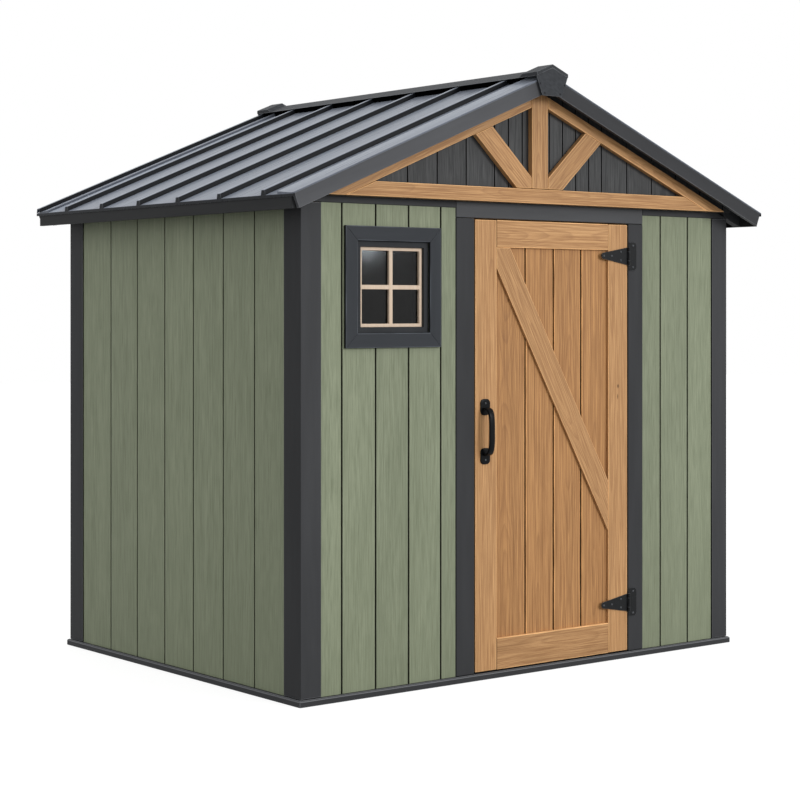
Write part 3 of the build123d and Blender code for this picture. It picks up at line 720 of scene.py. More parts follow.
def oiled_timber(name, light, dark, ring_width=0.0065, pith_depth=0.06, strength=0.5):
    """Clear-oiled softwood with rings, streaks, fibres and a slow change of tone; edges lightened as wear
    and painted highlight, and groove-marked points darkened, as painted shade in the panel's grooves and
    as dark lines at the rails' joints.
    """
    timber = Finish(name)
    figure = timber.effect("Timber figure", Grain=timber.grain(), Ring_width=ring_width,
                           Pith_depth=pith_depth, Wander=0.12)
    ringed = timber.mix(timber.times(figure["Rings"], strength), light, dark)
    streaked = timber.mix(timber.remap(figure["Streaks"], 0.45, 0.6, 0.0, 0.68), ringed, dark)
    fibred = timber.mix(timber.remap(figure["Fibres"], 0.44, 0.6, 0.0, 0.5), streaked, dark)
    slow = timber.drawn_out(timber.grain(), 14.0, 1.2, 3.0)
    lift = timber.times(timber.remap(slow, 0.3, 0.7, 0.95, 1.06),
                        timber.remap(timber.carried("tone"), 0.0, 1.0, 0.92, 1.06))
    edged = timber.mix(timber.worn(0.9), timber.scaled(fibred, lift), toned(light, 1.7))
    knotted = timber.mix(timber.times(knots(timber), 0.75), edged, toned(dark, 0.3))
    timber.bump(figure["Height"], 0.35, 0.0008)
    return timber.surface(timber.mix(timber.carried("groove"), knotted, toned(dark, 0.16)),
                          timber.remap(figure["Rings"], 0.0, 1.0, 0.6, 0.46), Specular_IOR_Level=0.2)


def carcass_timber(name, light, dark, outside):
    """Plain sawn softwood, darkened beyond planes just inside the walls: paint where it shows outside
    them, and painted shade on a sliver under the eave.
    """
    timber = Finish(name)
    figure = timber.effect("Timber figure", Grain=timber.grain(), Ring_width=0.007, Pith_depth=0.05,
                           Wander=0.12)
    ringed = timber.mix(timber.times(figure["Rings"], 0.6), light, dark)
    fibred = timber.mix(timber.remap(figure["Fibres"], 0.3, 0.8, 0.0, 0.3), ringed, dark)
    side_plane, end_plane = 1.16, 0.9235
    place = timber.axes(timber.place())
    beside = timber.maths("GREATER_THAN", timber.maths("ABSOLUTE", place["X"]), side_plane)
    before = timber.maths("GREATER_THAN", timber.maths("ABSOLUTE", place["Y"]), end_plane)
    timber.bump(figure["Height"], 0.4, 0.001)
    return timber.surface(timber.mix(timber.maths("MAXIMUM", beside, before), fibred, outside),
                          timber.remap(figure["Fibres"], 0.3, 0.8, 0.75, 0.6), Specular_IOR_Level=0.2)


def coated_metal(name, colour, shade, roughness, gloss, sheen):
    """Coated sheet steel: streaks down the slope, a stipple, a matt sheen, and the shade colour on marked
    faces such as the rib sides, as painted shade.
    """
    metal = Finish(name)
    streaks = metal.drawn_out(metal.grain(), 90.0, 2.5, 4.0, 0.6)
    stipple = metal.noise(metal.place(), 700.0, 2.0)
    sheet = metal.mix(metal.remap(streaks, 0.38, 0.62), toned(colour, 0.72), colour)
    metal.bump(metal.plus(stipple, streaks), 0.1, 0.0005)
    # Painted shade: faces marked with the groove mask take the shade colour
    return metal.surface(metal.mix(metal.carried("groove"), sheet, shade),
                         metal.remap(streaks, 0.3, 0.7, roughness - 0.05, roughness + 0.06),
                         Specular_IOR_Level=gloss, Sheen_Weight=sheen, Sheen_Roughness=0.3,
                         Sheen_Tint=(0.8, 0.88, 1.0, 1))


def black_iron(name, colour, roughness, gloss=0.12):
    """Powder-coated iron with a slightly hammered face, lighter on the dents' crowns as painted highlight.
    """
    iron = Finish(name)
    place = iron.place()
    dents = iron.noise(place, 160.0, 2.0)
    stipple = iron.noise(place, 1400.0, 1.0)
    iron.bump(iron.plus(iron.times(dents, 0.8), iron.times(stipple, 0.2)), 0.35, 0.0008)
    return iron.surface(iron.mix(iron.remap(dents, 0.55, 0.75), colour, toned(colour, 2.5)),
                        iron.remap(dents, 0.3, 0.7, roughness + 0.06, roughness - 0.06),
                        Specular_IOR_Level=gloss)


def pin_steel(name, dark, light):
    """Plain turned steel."""
    steel = Finish(name)
    turned = steel.drawn_out(steel.place(), 10.0, 2500.0)
    return steel.surface(steel.mix(turned, dark, light), steel.remap(turned, 0.3, 0.7, 0.3, 0.4),
                         Metallic=1.0)


def window_pane(name, clear, dusty):
    """Clear glass with a thin film of dust in patches."""
    glass = Finish(name)
    film = glass.noise(glass.place(), 14.0, 4.0)
    return glass.surface(glass.mix(film, clear, dusty), glass.remap(film, 0.3, 0.7, 0.07, 0.1),
                         Transmission_Weight=1.0, IOR=1.32)


def floor_surface(name, colour, glow):
    """A pale floor that keeps the shadow and meets a white background."""
    made = bpy.data.materials.new(name)
    made.use_nodes = True
    floor = Nodes(made.node_tree)
    floor.tree.nodes.remove(floor.tree.nodes["Principled BSDF"])
    speckle = floor.noise(floor.node("TexCoord")["Object"], 60.0, 3.0)
    shade = floor.mix(floor.remap(speckle, 0.3, 0.7, 0.0, 0.06), colour, (0.2, 0.2, 0.2, 1))
    matt = floor.node("BsdfDiffuse", {"Color": shade})[0]
    strength = floor.times(floor.seen(), glow)
    white = floor.node("Emission", {"Color": (1, 1, 1, 1), "Strength": strength})[0]
    both = floor.node("AddShader", {0: matt, 1: white})[0]
    floor.plug(floor.tree.nodes["Material Output"].inputs["Surface"], both)
    return made


def finish(name):
    """The material of a name, made when a piece first asks for it."""
    if name in bpy.data.materials:
        return bpy.data.materials[name]
    settings = bpy.context.scene.shed_colours
    tones = {key: tuple(getattr(settings, key)) for key in settings.__annotations__}
    trim, timber, ring = tones["trim"], tones["timber"], tones["timber_ring"]
    cap, cap_edge, foam = (0.045, 0.048, 0.053, 1), (0.16, 0.168, 0.18, 1), (0.0015, 0.0015, 0.0016, 1)
    rows = {
        # Board paints: the pale colours are painted highlight on the arrises, partly wear; the groove
        # colours are painted shade, partly dirt
        "Green board paint": (painted_boards, dict(
            colour=tones["green"], dark=tones["green_shade"], worn=(0.29, 0.32, 0.225, 1),
            groove=(0.028, 0.031, 0.022, 1))),
        "Grey board paint": (painted_boards, dict(
            colour=(0.056, 0.057, 0.058, 1), dark=(0.022, 0.023, 0.024, 1), worn=(0.08, 0.082, 0.085, 1),
            groove=(0.006, 0.006, 0.007, 1))),
        "Anthracite paint": (painted_trim, dict(colour=trim)),
        # Painted highlight, partly wear: edge paints are several times lighter than their faces
        "Anthracite paint on edges": (painted_trim, dict(colour=toned(trim, 3.6), roughness=0.4)),
        # Painted light: the header's paint is nearly twice as light as the trim, against the chord's shade
        "Header paint": (painted_trim, dict(colour=(0.068, 0.07, 0.074, 1))),
        # Painted light and shade: posts darker than the trim, lighter on front faces, black on sides that
        # face the middle
        "Post paint": (painted_trim, dict(colour=(0.0285, 0.0293, 0.0312, 1), painted_front_light=1.6, painted_inner_shade=1.0)),
        "Post paint on edges": (painted_trim, dict(colour=(0.133, 0.137, 0.146, 1), roughness=0.4,
                                                   painted_inner_shade=1.0)),
        # Painted light: the barge paint is twice as light on the shed's left half
        "Barge paint": (painted_trim, dict(colour=(0.038, 0.039, 0.042, 1), faded=2.0)),
        # Painted shade: the fascia's paint is darker than the trim, for the shaded eave
        "Fascia paint": (painted_trim, dict(colour=(0.022, 0.023, 0.024, 1), roughness=0.5)),
        "Casing paint": (painted_trim, dict(colour=(0.033, 0.0365, 0.042, 1), roughness=0.44)),
        # Painted shade: the lining's paint is darker than the trim, for the shade in the reveal
        "Lining paint": (painted_trim, dict(colour=(0.026, 0.028, 0.031, 1), roughness=0.5)),
        "Oiled timber": (oiled_timber, dict(light=timber, dark=ring)),
        # Painted highlight, partly wear: the timbers' edges are lighter
        "Oiled timber on edges": (oiled_timber, dict(light=toned(timber, 1.6), dark=timber)),
        "Oiled panel boards": (oiled_timber, dict(light=tones["panel"], dark=tones["panel_ring"],
                                                  ring_width=0.0068)),
        "Sash varnish": (oiled_timber, dict(light=tones["sash"], dark=(0.5, 0.37, 0.26, 1),
                                            ring_width=0.006, pith_depth=0.03, strength=0.35)),
        "Floor softwood": (oiled_timber, dict(light=(0.56, 0.4, 0.24, 1), dark=(0.38, 0.24, 0.12, 1),
                                              pith_depth=0.04)),
        "Carcass softwood": (carcass_timber, dict(
            light=(0.6, 0.44, 0.27, 1), dark=(0.42, 0.27, 0.14, 1), outside=(0.022, 0.023, 0.025, 1))),
        # Painted shade: the sheet's shade colour darkens its rib sides, stops and drip edge
        "Coated roof sheet": (coated_metal, dict(
            colour=tones["metal"], shade=(0.008, 0.009, 0.011, 1), roughness=0.3, gloss=0.08, sheen=0.42)),
        "Coated roof trim": (coated_metal, dict(
            colour=cap, shade=cap, roughness=0.5, gloss=0.04, sheen=0.03)),
        # Painted highlight: the cap's edges are over three times lighter than the cap
        "Coated trim edges": (coated_metal, dict(
            colour=cap_edge, shade=cap_edge, roughness=0.4, gloss=0.2, sheen=0.1)),
        # Painted shade: near-black foam for the shadow under the ridge cap
        "Closure foam": (coated_metal, dict(colour=foam, shade=foam, roughness=0.9, gloss=0.0, sheen=0.0)),
        "Black iron": (black_iron, dict(colour=(0.005, 0.0056, 0.0064, 1), roughness=0.36)),
        # Painted highlight, partly wear: iron fourteen times lighter, for hinge edges and screw heads
        "Rubbed iron": (black_iron, dict(colour=(0.07, 0.074, 0.08, 1), roughness=0.32)),
        "Forged iron": (black_iron, dict(colour=(0.003, 0.0034, 0.004, 1), roughness=0.3, gloss=0.07)),
        "Pin steel": (pin_steel, dict(dark=(0.3, 0.3, 0.31, 1), light=(0.4, 0.4, 0.41, 1))),
        "Window glass": (window_pane, dict(clear=(0.09, 0.091, 0.086, 1), dusty=(0.14, 0.141, 0.132, 1))),
    }
    maker, values = rows[name]
    return maker(name, **values)


# Small parts


def dome_screws(places, outward, radius, height):
    """Pan-head screws with a cross recess, standing out along one direction.

    A head is a function of the distance r from its middle and the angle a:
    height * sqrt(1 - 0.8 r^2), less a recess where |x| or |y| is within a fifth of
    the radius and r is under six tenths.
    """
    share, angle = np.meshgrid(
        np.array([1.0, 1.0, 0.93, 0.8, 0.64, 0.56, 0.36, 0.16]),
        np.arange(24) * 2 * np.pi / 24, indexing="ij",
    )
    rise = np.sqrt(1 - 0.8 * share ** 2)
    rise[0] = -0.4
    rise[1] = 0.1
    x = share * np.cos(angle)
    y = share * np.sin(angle)
    cross = (np.minimum(np.abs(x), np.abs(y)) < 0.17) & (share < 0.6)
    rise = rise - 0.5 * cross
    outward = np.asarray(outward, float)
    side = np.cross([0, 0, 1], outward)
    head = (
        (x * radius)[..., None] * side
        + (y * radius)[..., None] * np.array([0, 0, 1.0])
        + (rise * height)[..., None] * outward
    )
    return [solid(np.asarray(place, float) + head) for place in places]


# Settings


def length(name, description, default, least):
    """A length that can be set in the panel."""
    return bpy.props.FloatProperty(name=name, description=description, default=default, min=least,
                                   unit="LENGTH")


def swatch(name, description, *default):
    """A colour that can be set in the panel, in linear values."""
    return bpy.props.FloatVectorProperty(name=name, description=description, size=4, subtype="COLOR",
                                         default=(*default, 1), min=0, max=1)


class ShedBoardSettings(bpy.types.PropertyGroup):
    """Sizes of the grooved boards."""

    groove_width: length("Groove width", "Open width between two boards", 0.009, 0.001)
    groove_depth: length("Groove depth", "Depth from the face to the tongue", 0.009, 0.001)
    edge_radius: length("Board edge radius", "Rounding of a board's front edges", 0.0012, 0.0002)
    panel_groove: length("Door groove", "Width and depth of the door panel's grooves", 0.009, 0.001)


class ShedJoinerySettings(bpy.types.PropertyGroup):
    """Easing of the planed timbers and plates."""

    trim_radius: length("Trim edge radius", "Rounding of painted trim", 0.0022, 0.0002)
    timber_radius: length("Timber edge radius", "Rounding of the oiled timbers", 0.0025, 0.0002)
    joint: length("Joint", "Open width of a joint between planed pieces", 0.0018, 0.0)
    plate_radius: length("Plate edge radius", "Rounding of hinge plates", 0.0008, 0.0001)
    screw_radius: length("Screw head radius", "Half the width of a screw head", 0.0045, 0.001)


class ShedRoofSettings(bpy.types.PropertyGroup):
    """Sizes of the metal roof."""

    fold_radius: length("Fold radius", "Outer radius of the ribs' folds", 0.0028, 0.0005)
    rib_height: length("Rib height", "Height of a rib above the pan", 0.0195, 0.005)
    first_rib: length("First rib", "Place of the front rib along Y", -0.826, -1.0)
    rib_pitch: length("Rib pitch", "Distance from rib to rib", 0.315, 0.05)
    rib_count: bpy.props.IntProperty(name="Ribs", description="Ribs on each slope", default=6, min=1)


class ShedColourSettings(bpy.types.PropertyGroup):
    """Paint, timber and metal colours."""

    green: swatch("Wall paint", "Colour of the wall boards", 0.226, 0.252, 0.17)
    green_shade: swatch("Wall paint in the streaks", "Colour in fine streaks", 0.147, 0.168, 0.108)
    trim: swatch("Trim paint", "Colour of jambs and sills", 0.037, 0.038, 0.0405)
    timber: swatch("Oiled timber", "Light colour of the door frame and truss", 0.52, 0.298, 0.134)
    timber_ring: swatch("Timber rings", "Dark colour of the door frame and truss", 0.205, 0.09, 0.03)
    panel: swatch("Panel timber", "Light colour of the door panel", 0.49, 0.257, 0.1)
    panel_ring: swatch("Panel rings", "Dark colour of the door panel", 0.175, 0.072, 0.023)
    # Lighter and bluer than the anthracite coating: the coating's own colour with painted reflection of
    # the sky
    metal: swatch("Roof metal", "Colour of the coated sheets", 0.138, 0.153, 0.188)
    sash: swatch("Sash", "Colour of the window's bars", 0.56, 0.46, 0.37)


class ShedStageSettings(bpy.types.PropertyGroup):
    """Light and floor."""

    sky: bpy.props.FloatProperty(name="Sky", description="Strength of the even light", default=1.12,
                                 min=0)
    key_power: bpy.props.FloatProperty(name="Key lamp", description="Power of the front lamp",
                                       default=4000.0, min=0, unit="POWER")
    floor_glow: bpy.props.FloatProperty(name="Floor glow", default=0.78, min=0,
                                        description="What the floor adds to reach the background")


# Pieces


class ShedWallBoards(bpy.types.Operator):
    """Builds the green wall boards of all four walls"""

    bl_idname = "shed.wall_boards"
    bl_label = "Wall boards"

    def execute(self, context):
        sizes = context.scene.shed_boards
        groove = (sizes.groove_width, sizes.groove_depth, sizes.edge_radius)
        half_side, half_end = 0.802, 1.118
        pitch, seam_start = 2 * half_side / 7, -0.82
        sides = [-half_side, *(seam_start + pitch * np.arange(1, 7)), half_side]
        front_left = [-half_end, -1.015, -0.8455, -0.676, -0.5065, -0.427]
        front_right = [0.666, 0.784, 0.961, half_end]
        low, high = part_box("window_frame")
        window = (low.x, high.x, low.z, high.z)
        rows = (
            ("left_boards", "left_wall_boards", sides, standing((1, 0), SIDE_FACE_X), None),
            ("right_boards", "right_wall_boards", sides, standing((-1, 0), SIDE_FACE_X), None),
            ("rear_boards", "rear_wall_boards", evenly(-half_end, half_end, 13),
             standing((0, -1), END_FACE_Y), None),
            ("front_boards_left", "front_wall_left", front_left, standing((0, 1), END_FACE_Y), window),
            ("front_boards_right", "front_wall_right", front_right, standing((0, 1), END_FACE_Y), None),
        )
        for seed, (name, source, places, axes, hole) in enumerate(rows, 11):
            made = boards(places, axes, SILL_TOP, BOARDS_TOP, BOARD_THICKNESS, groove, seed, hole)
            piece_of_solids(name, made, SHED, ["Green board paint"], [source])
        return {"FINISHED"}


class ShedGableBoards(bpy.types.Operator):
    """Builds the grey boards of both gables"""

    bl_idname = "shed.gable_boards"
    bl_label = "Gable boards"

    def execute(self, context):
        sizes = context.scene.shed_boards
        groove = (sizes.groove_width * 0.7, sizes.groove_depth * 0.7, sizes.edge_radius)
        half_pitch, half_width, under_roof = 0.078, 1.22, -0.017
        narrow_from, narrow_to = -0.16, 0.32
        lines = np.arange(-15, 16)
        narrow = (lines * half_pitch > narrow_from) & (lines * half_pitch < narrow_to)
        places = [-half_width, *(half_pitch * lines[(lines % 2 == 1) | narrow]), half_width]

        def top(across):
            return roof_height(across, under_roof)

        for name, inward, seed in (("front", 1, 21), ("rear", -1, 22)):
            axes = standing((0, inward), GABLE_FACE_Y)
            made = boards(places, axes, WALL_TOP, top, BOARD_THICKNESS, groove, seed)
            piece_of_solids(f"{name}_gable", made, SHED, ["Grey board paint"],
                            [f"{name}_gable_boards"])
        return {"FINISHED"}


class ShedTrim(bpy.types.Operator):
    """Eases the painted posts, jambs, sills, barge boards and fascias"""

    bl_idname = "shed.trim"
    bl_label = "Painted trim"

    def execute(self, context):
        joinery = context.scene.shed_joinery
        edges = "Anthracite paint on edges"
        plain = ["Anthracite paint"]
        worn = [*plain, edges]
        down = along_slant(ROOF_SLOPE)
        rows = (
            ("corner_posts", "posts", along_z, 1.4, ["Post paint", "Post paint on edges"]),
            ("door_jambs", "jambs", along_z, 1.0, plain),
            ("door_header", "header", along_x, 1.0, ["Header paint"]),
            ("door_stops", "stops", along_z, 1.0, plain),
            ("friezes", "frieze_boards", along_x, 0.6, plain),
            ("base_sills_front_rear", "sills_front_rear", along_x, 1.0, worn),
            ("base_sills_left_right", "sills_left_right", along_y, 1.0, worn),
            ("barge_boards", "barges", down, 1.0, ["Barge paint", edges]),
            ("fascias", "fascia_boards", along_y, 1.0, ["Fascia paint"]),
            ("eave_blocks", "eave_infill", along_y, 1.0, plain),
        )
        for seed, (source, name, grain, easing, paints) in enumerate(rows, 31):
            eased_copy(source, name, SHED, paints, grain, joinery.trim_radius * easing,
                       seed=seed, joint=joinery.joint)
        return {"FINISHED"}


class ShedWindow(bpy.types.Operator):
    """Finishes the window: mitred casing, frame, barred sash and glass"""

    bl_idname = "shed.window"
    bl_label = "Window"

    def execute(self, context):
        joinery = context.scene.shed_joinery
        radius = joinery.trim_radius
        piece_of_solids("casing", self.casing(joinery), SHED, ["Casing paint"],
                        ["window_casing"])
        eased_copy("window_frame", "frame_lining", SHED, ["Lining paint"], along_z,
                   radius * 0.7, seed=52)
        eased_copy("window_sash", "sash_bars", SHED, ["Sash varnish"], along_z,
                   radius * 0.8, seed=53)
        refinish("window_glass", "Window glass")
        return {"FINISHED"}

    @staticmethod
    def casing(joinery):
        """Four flat boards with mitred ends, pale along the mitres as wear and painted highlight, and with
        sides nearly black as painted shade.
        """
        low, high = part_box("window_casing")
        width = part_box("window_frame")[0].x - low.x
        thickness = high.y - low.y
        easing = (0.0, thickness, joinery.trim_radius)
        section = board_outline(0.0, width, thickness, easing, (True, True), False)
        joint = joinery.joint * 0.3
        rows = (
            ((low.x, low.y, 0), (1, 0, 0), (0, 0, 1), low.z, high.z),
            ((high.x, low.y, 0), (-1, 0, 0), (0, 0, 1), low.z, high.z),
            ((0, low.y, low.z), (0, 0, 1), (1, 0, 0), low.x, high.x),
            ((0, low.y, high.z), (0, 0, -1), (1, 0, 0), low.x, high.x),
        )
        draw = np.random.default_rng(51)
        made = []
        for origin, across, along, start, end in rows:
            axes = (origin, across, (0, 1, 0), along)
            shift = draw.uniform(-1, 1, 3) * np.array([0.01, 0.01, 5.0])

            def mitre_low(place, start=start):
                return start + place + joint

            def mitre_high(place, end=end):
                return end - place - joint

            made.append(raised(section, axes, width / 2, mitre_low, mitre_high, shift,
                               draw.uniform(0, 1), joint))
        return made


class ShedDoor(bpy.types.Operator):
    """Builds the door leaf: stiles, rails, brace and boarded panel"""

    bl_idname = "shed.door"
    bl_label = "Door leaf"

    def execute(self, context):
        joinery = context.scene.shed_joinery
        radius, joint = joinery.timber_radius, joinery.joint
        eased_copy("door_stiles", "stiles", DOOR, OILED, along_z, radius, seed=61,
                   joint=joint)
        piece_of_solids("rails", self.rails(radius, joint), DOOR, OILED[:1],
                        ["door_rails"])
        low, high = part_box("door_brace")
        falling = along_slant(math.atan2(high.z - low.z, high.x - low.x), False)
        eased_copy("door_brace", "brace", DOOR, OILED, falling, radius, seed=63,
                   joint=joint)
        low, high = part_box("door_panel")
        seams = (-0.031, 0.133, 0.297)
        thickness = 0.014
        width = context.scene.shed_boards.panel_groove
        groove = (width, width, width * 0.28)
        made = boards([low.x, *seams, high.x], standing((0, 1), PANEL_FACE_Y), low.z, high.z,
                      thickness, groove, 64)
        piece_of_solids("panel_boards", made, DOOR, ["Oiled panel boards"],
                        ["door_panel"])
        return {"FINISHED"}

    @staticmethod
    def rails(radius, joint):
        """The rails as eased bars between the stiles, with a dark line at each joint."""
        draw = np.random.default_rng(62)
        made = []
        for low, high in solid_boxes("door_rails"):
            height, thickness = high[2] - low[2], high[1] - low[1]
            outline, worn, grooved = board_outline(0.0, height, thickness, (0.0, thickness, radius),
                                                   (True, True), False)
            axes = ((0, low[1], low[2]), (0, 0, 1), (0, 1, 0), (1, 0, 0))
            shift = draw.uniform(-1, 1, 3) * np.array([0.02, 0.01, 8.0])
            upper = float(low[2] > 1.0)
            made.append(raised((outline, worn, 0 * grooved), axes, height / 2, low[0] + joint / 2,
                               high[0] - joint / 2, shift, upper, radius * 0.6, True))
        return made


class ShedTruss(bpy.types.Operator):
    """Eases the timbers of the gable truss"""

    bl_idname = "shed.truss"
    bl_label = "Gable truss"

    def execute(self, context):
        joinery = context.scene.shed_joinery
        strut_rise = math.radians(43)
        rows = (
            ("truss_chord", "chord", along_x),
            ("truss_king_post", "king_post", along_z),
            ("truss_rafters", "truss_slopes", along_slant(ROOF_SLOPE)),
            ("truss_struts", "struts", along_slant(-strut_rise)),
        )
        for seed, (source, name, grain) in enumerate(rows, 71):
            eased_copy(source, name, SHED, OILED, grain, joinery.timber_radius,
                       seed=seed, joint=joinery.joint * 1.5)
        return {"FINISHED"}


class ShedHinges(bpy.types.Operator):
    """Finishes the strap hinges, with their pins and screws"""

    bl_idname = "shed.hinges"
    bl_label = "Hinges"

    def execute(self, context):
        joinery = context.scene.shed_joinery
        for source, name, body, grain, seed in (
            ("hinge_straps", "strap_plates", DOOR, along_x, 81),
            ("hinge_jamb_plates", "jamb_plates", SHED, along_z, 82),
        ):
            eased_copy(source, name, body, ["Black iron", "Rubbed iron"], grain,
                       joinery.plate_radius, seed=seed)
        refinish("hinge_pins", "Pin steel")
        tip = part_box("hinge_straps")[0]
        knuckle_rise = 0.0095
        face = tip.y + knuckle_rise
        half_plate = 0.0225
        plate_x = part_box("hinge_jamb_plates")[1].x - half_plate
        heights = (0.247, 1.791)
        strap_holes = ((0.014, 0), (0.062, 0), (0.118, -0.019), (0.118, 0.019))
        plate_holes = (-0.048, 0.048)
        on_door = [(tip.x + along, face, z + above) for z in heights for along, above in strap_holes]
        on_jamb = [(plate_x, face, z + above) for z in heights for above in plate_holes]
        for name, body, places in (("strap_screws", DOOR, on_door), ("jamb_screws", SHED, on_jamb)):
            heads = dome_screws(places, (0, -1, 0), joinery.screw_radius, joinery.screw_radius * 0.42)
            piece_of_solids(name, heads, body, ["Rubbed iron"])
        return {"FINISHED"}


class ShedHandle(bpy.types.Operator):
    """Builds the forged pull handle"""

    bl_idname = "shed.handle"
    bl_label = "Handle"

    def execute(self, context):
        radius = context.scene.shed_joinery.screw_radius
        low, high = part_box("door_handle")
        middle_x = (low.x + high.x) / 2
        height, width, thickness = 0.068, high.x - low.x, 0.004
        corner, screw_inset, screw_sunk = 0.018, 0.018, 0.0003
        domed = ((0, 0), (0, 0.0028), (0.0004, 0.0036), (0.0014, thickness), (0.009, thickness + 0.0005))
        made = []
        for centre_z in (low.z + height / 2, high.z - height / 2):
            rings = []
            for inset, out in domed:
                x, z = width / 2 - inset, height / 2 - inset
                outline = eased([(-x, -z), (x, -z), (x, z), (-x, z)], corner - inset, 6)
                depth = np.full(len(outline), high.y - out)
                rings.append(np.stack([middle_x + outline[:, 0], depth, centre_z + outline[:, 1]], axis=1))
            made.append(solid(rings))
        made.append(self.bow(middle_x, low, high, thickness))
        piece_of_solids("pull_handle", made, DOOR, ["Forged iron"], ["door_handle"], 40)
        places = [(middle_x, high.y - thickness - screw_sunk, z)
                  for z in (low.z + screw_inset, high.z - screw_inset)]
        piece_of_solids("handle_screws", dome_screws(places, (0, -1, 0), radius, radius * 0.45), DOOR,
                        ["Rubbed iron"])
        return {"FINISHED"}

    @staticmethod
    def bow(middle_x, low, high, plate_thickness):
        """The grip: a flat bar carried along a flattened half ellipse.

        At share t of the way the bar stands out by reach * (1 - |2t - 1|^p)^(1/p),
        and its section grows wider and thinner towards both feet.
        """
        flatness, foot, sunk = 3.6, 0.040, 0.001
        flare_from, flare_over = 0.8, 0.2
        half_thick, thinned = 0.0055, 0.003
        grip_width, widened = 0.028, 0.006
        share = (1 - np.cos(np.linspace(0, np.pi, 41))) / 2
        middle = np.abs(2 * share - 1)
        reach = (high.y - low.y) - plate_thickness - half_thick
        out = reach * (1 - middle ** flatness) ** (1 / flatness)
        z = low.z + foot + (high.z - low.z - 2 * foot) * share
        y = high.y - plate_thickness + sunk - out
        path = np.stack([np.full_like(z, middle_x), y, z], axis=1)
        tangent = np.gradient(path, axis=0)
        tangent /= np.linalg.norm(tangent, axis=1, keepdims=True)
        side = np.array([1.0, 0, 0])
        normal = np.cross(side, tangent)
        flare = np.clip((middle - flare_from) / flare_over, 0, 1) ** 2
        width = grip_width + widened * flare
        thick = 2 * half_thick - thinned * flare
        outline = eased([(-0.5, -0.5), (0.5, -0.5), (0.5, 0.5), (-0.5, 0.5)], 0.28, 4)
        return solid(
            path[:, None]
            + outline[None, :, :1] * width[:, None, None] * side
            + outline[None, :, 1:] * thick[:, None, None] * normal[:, None]
        )


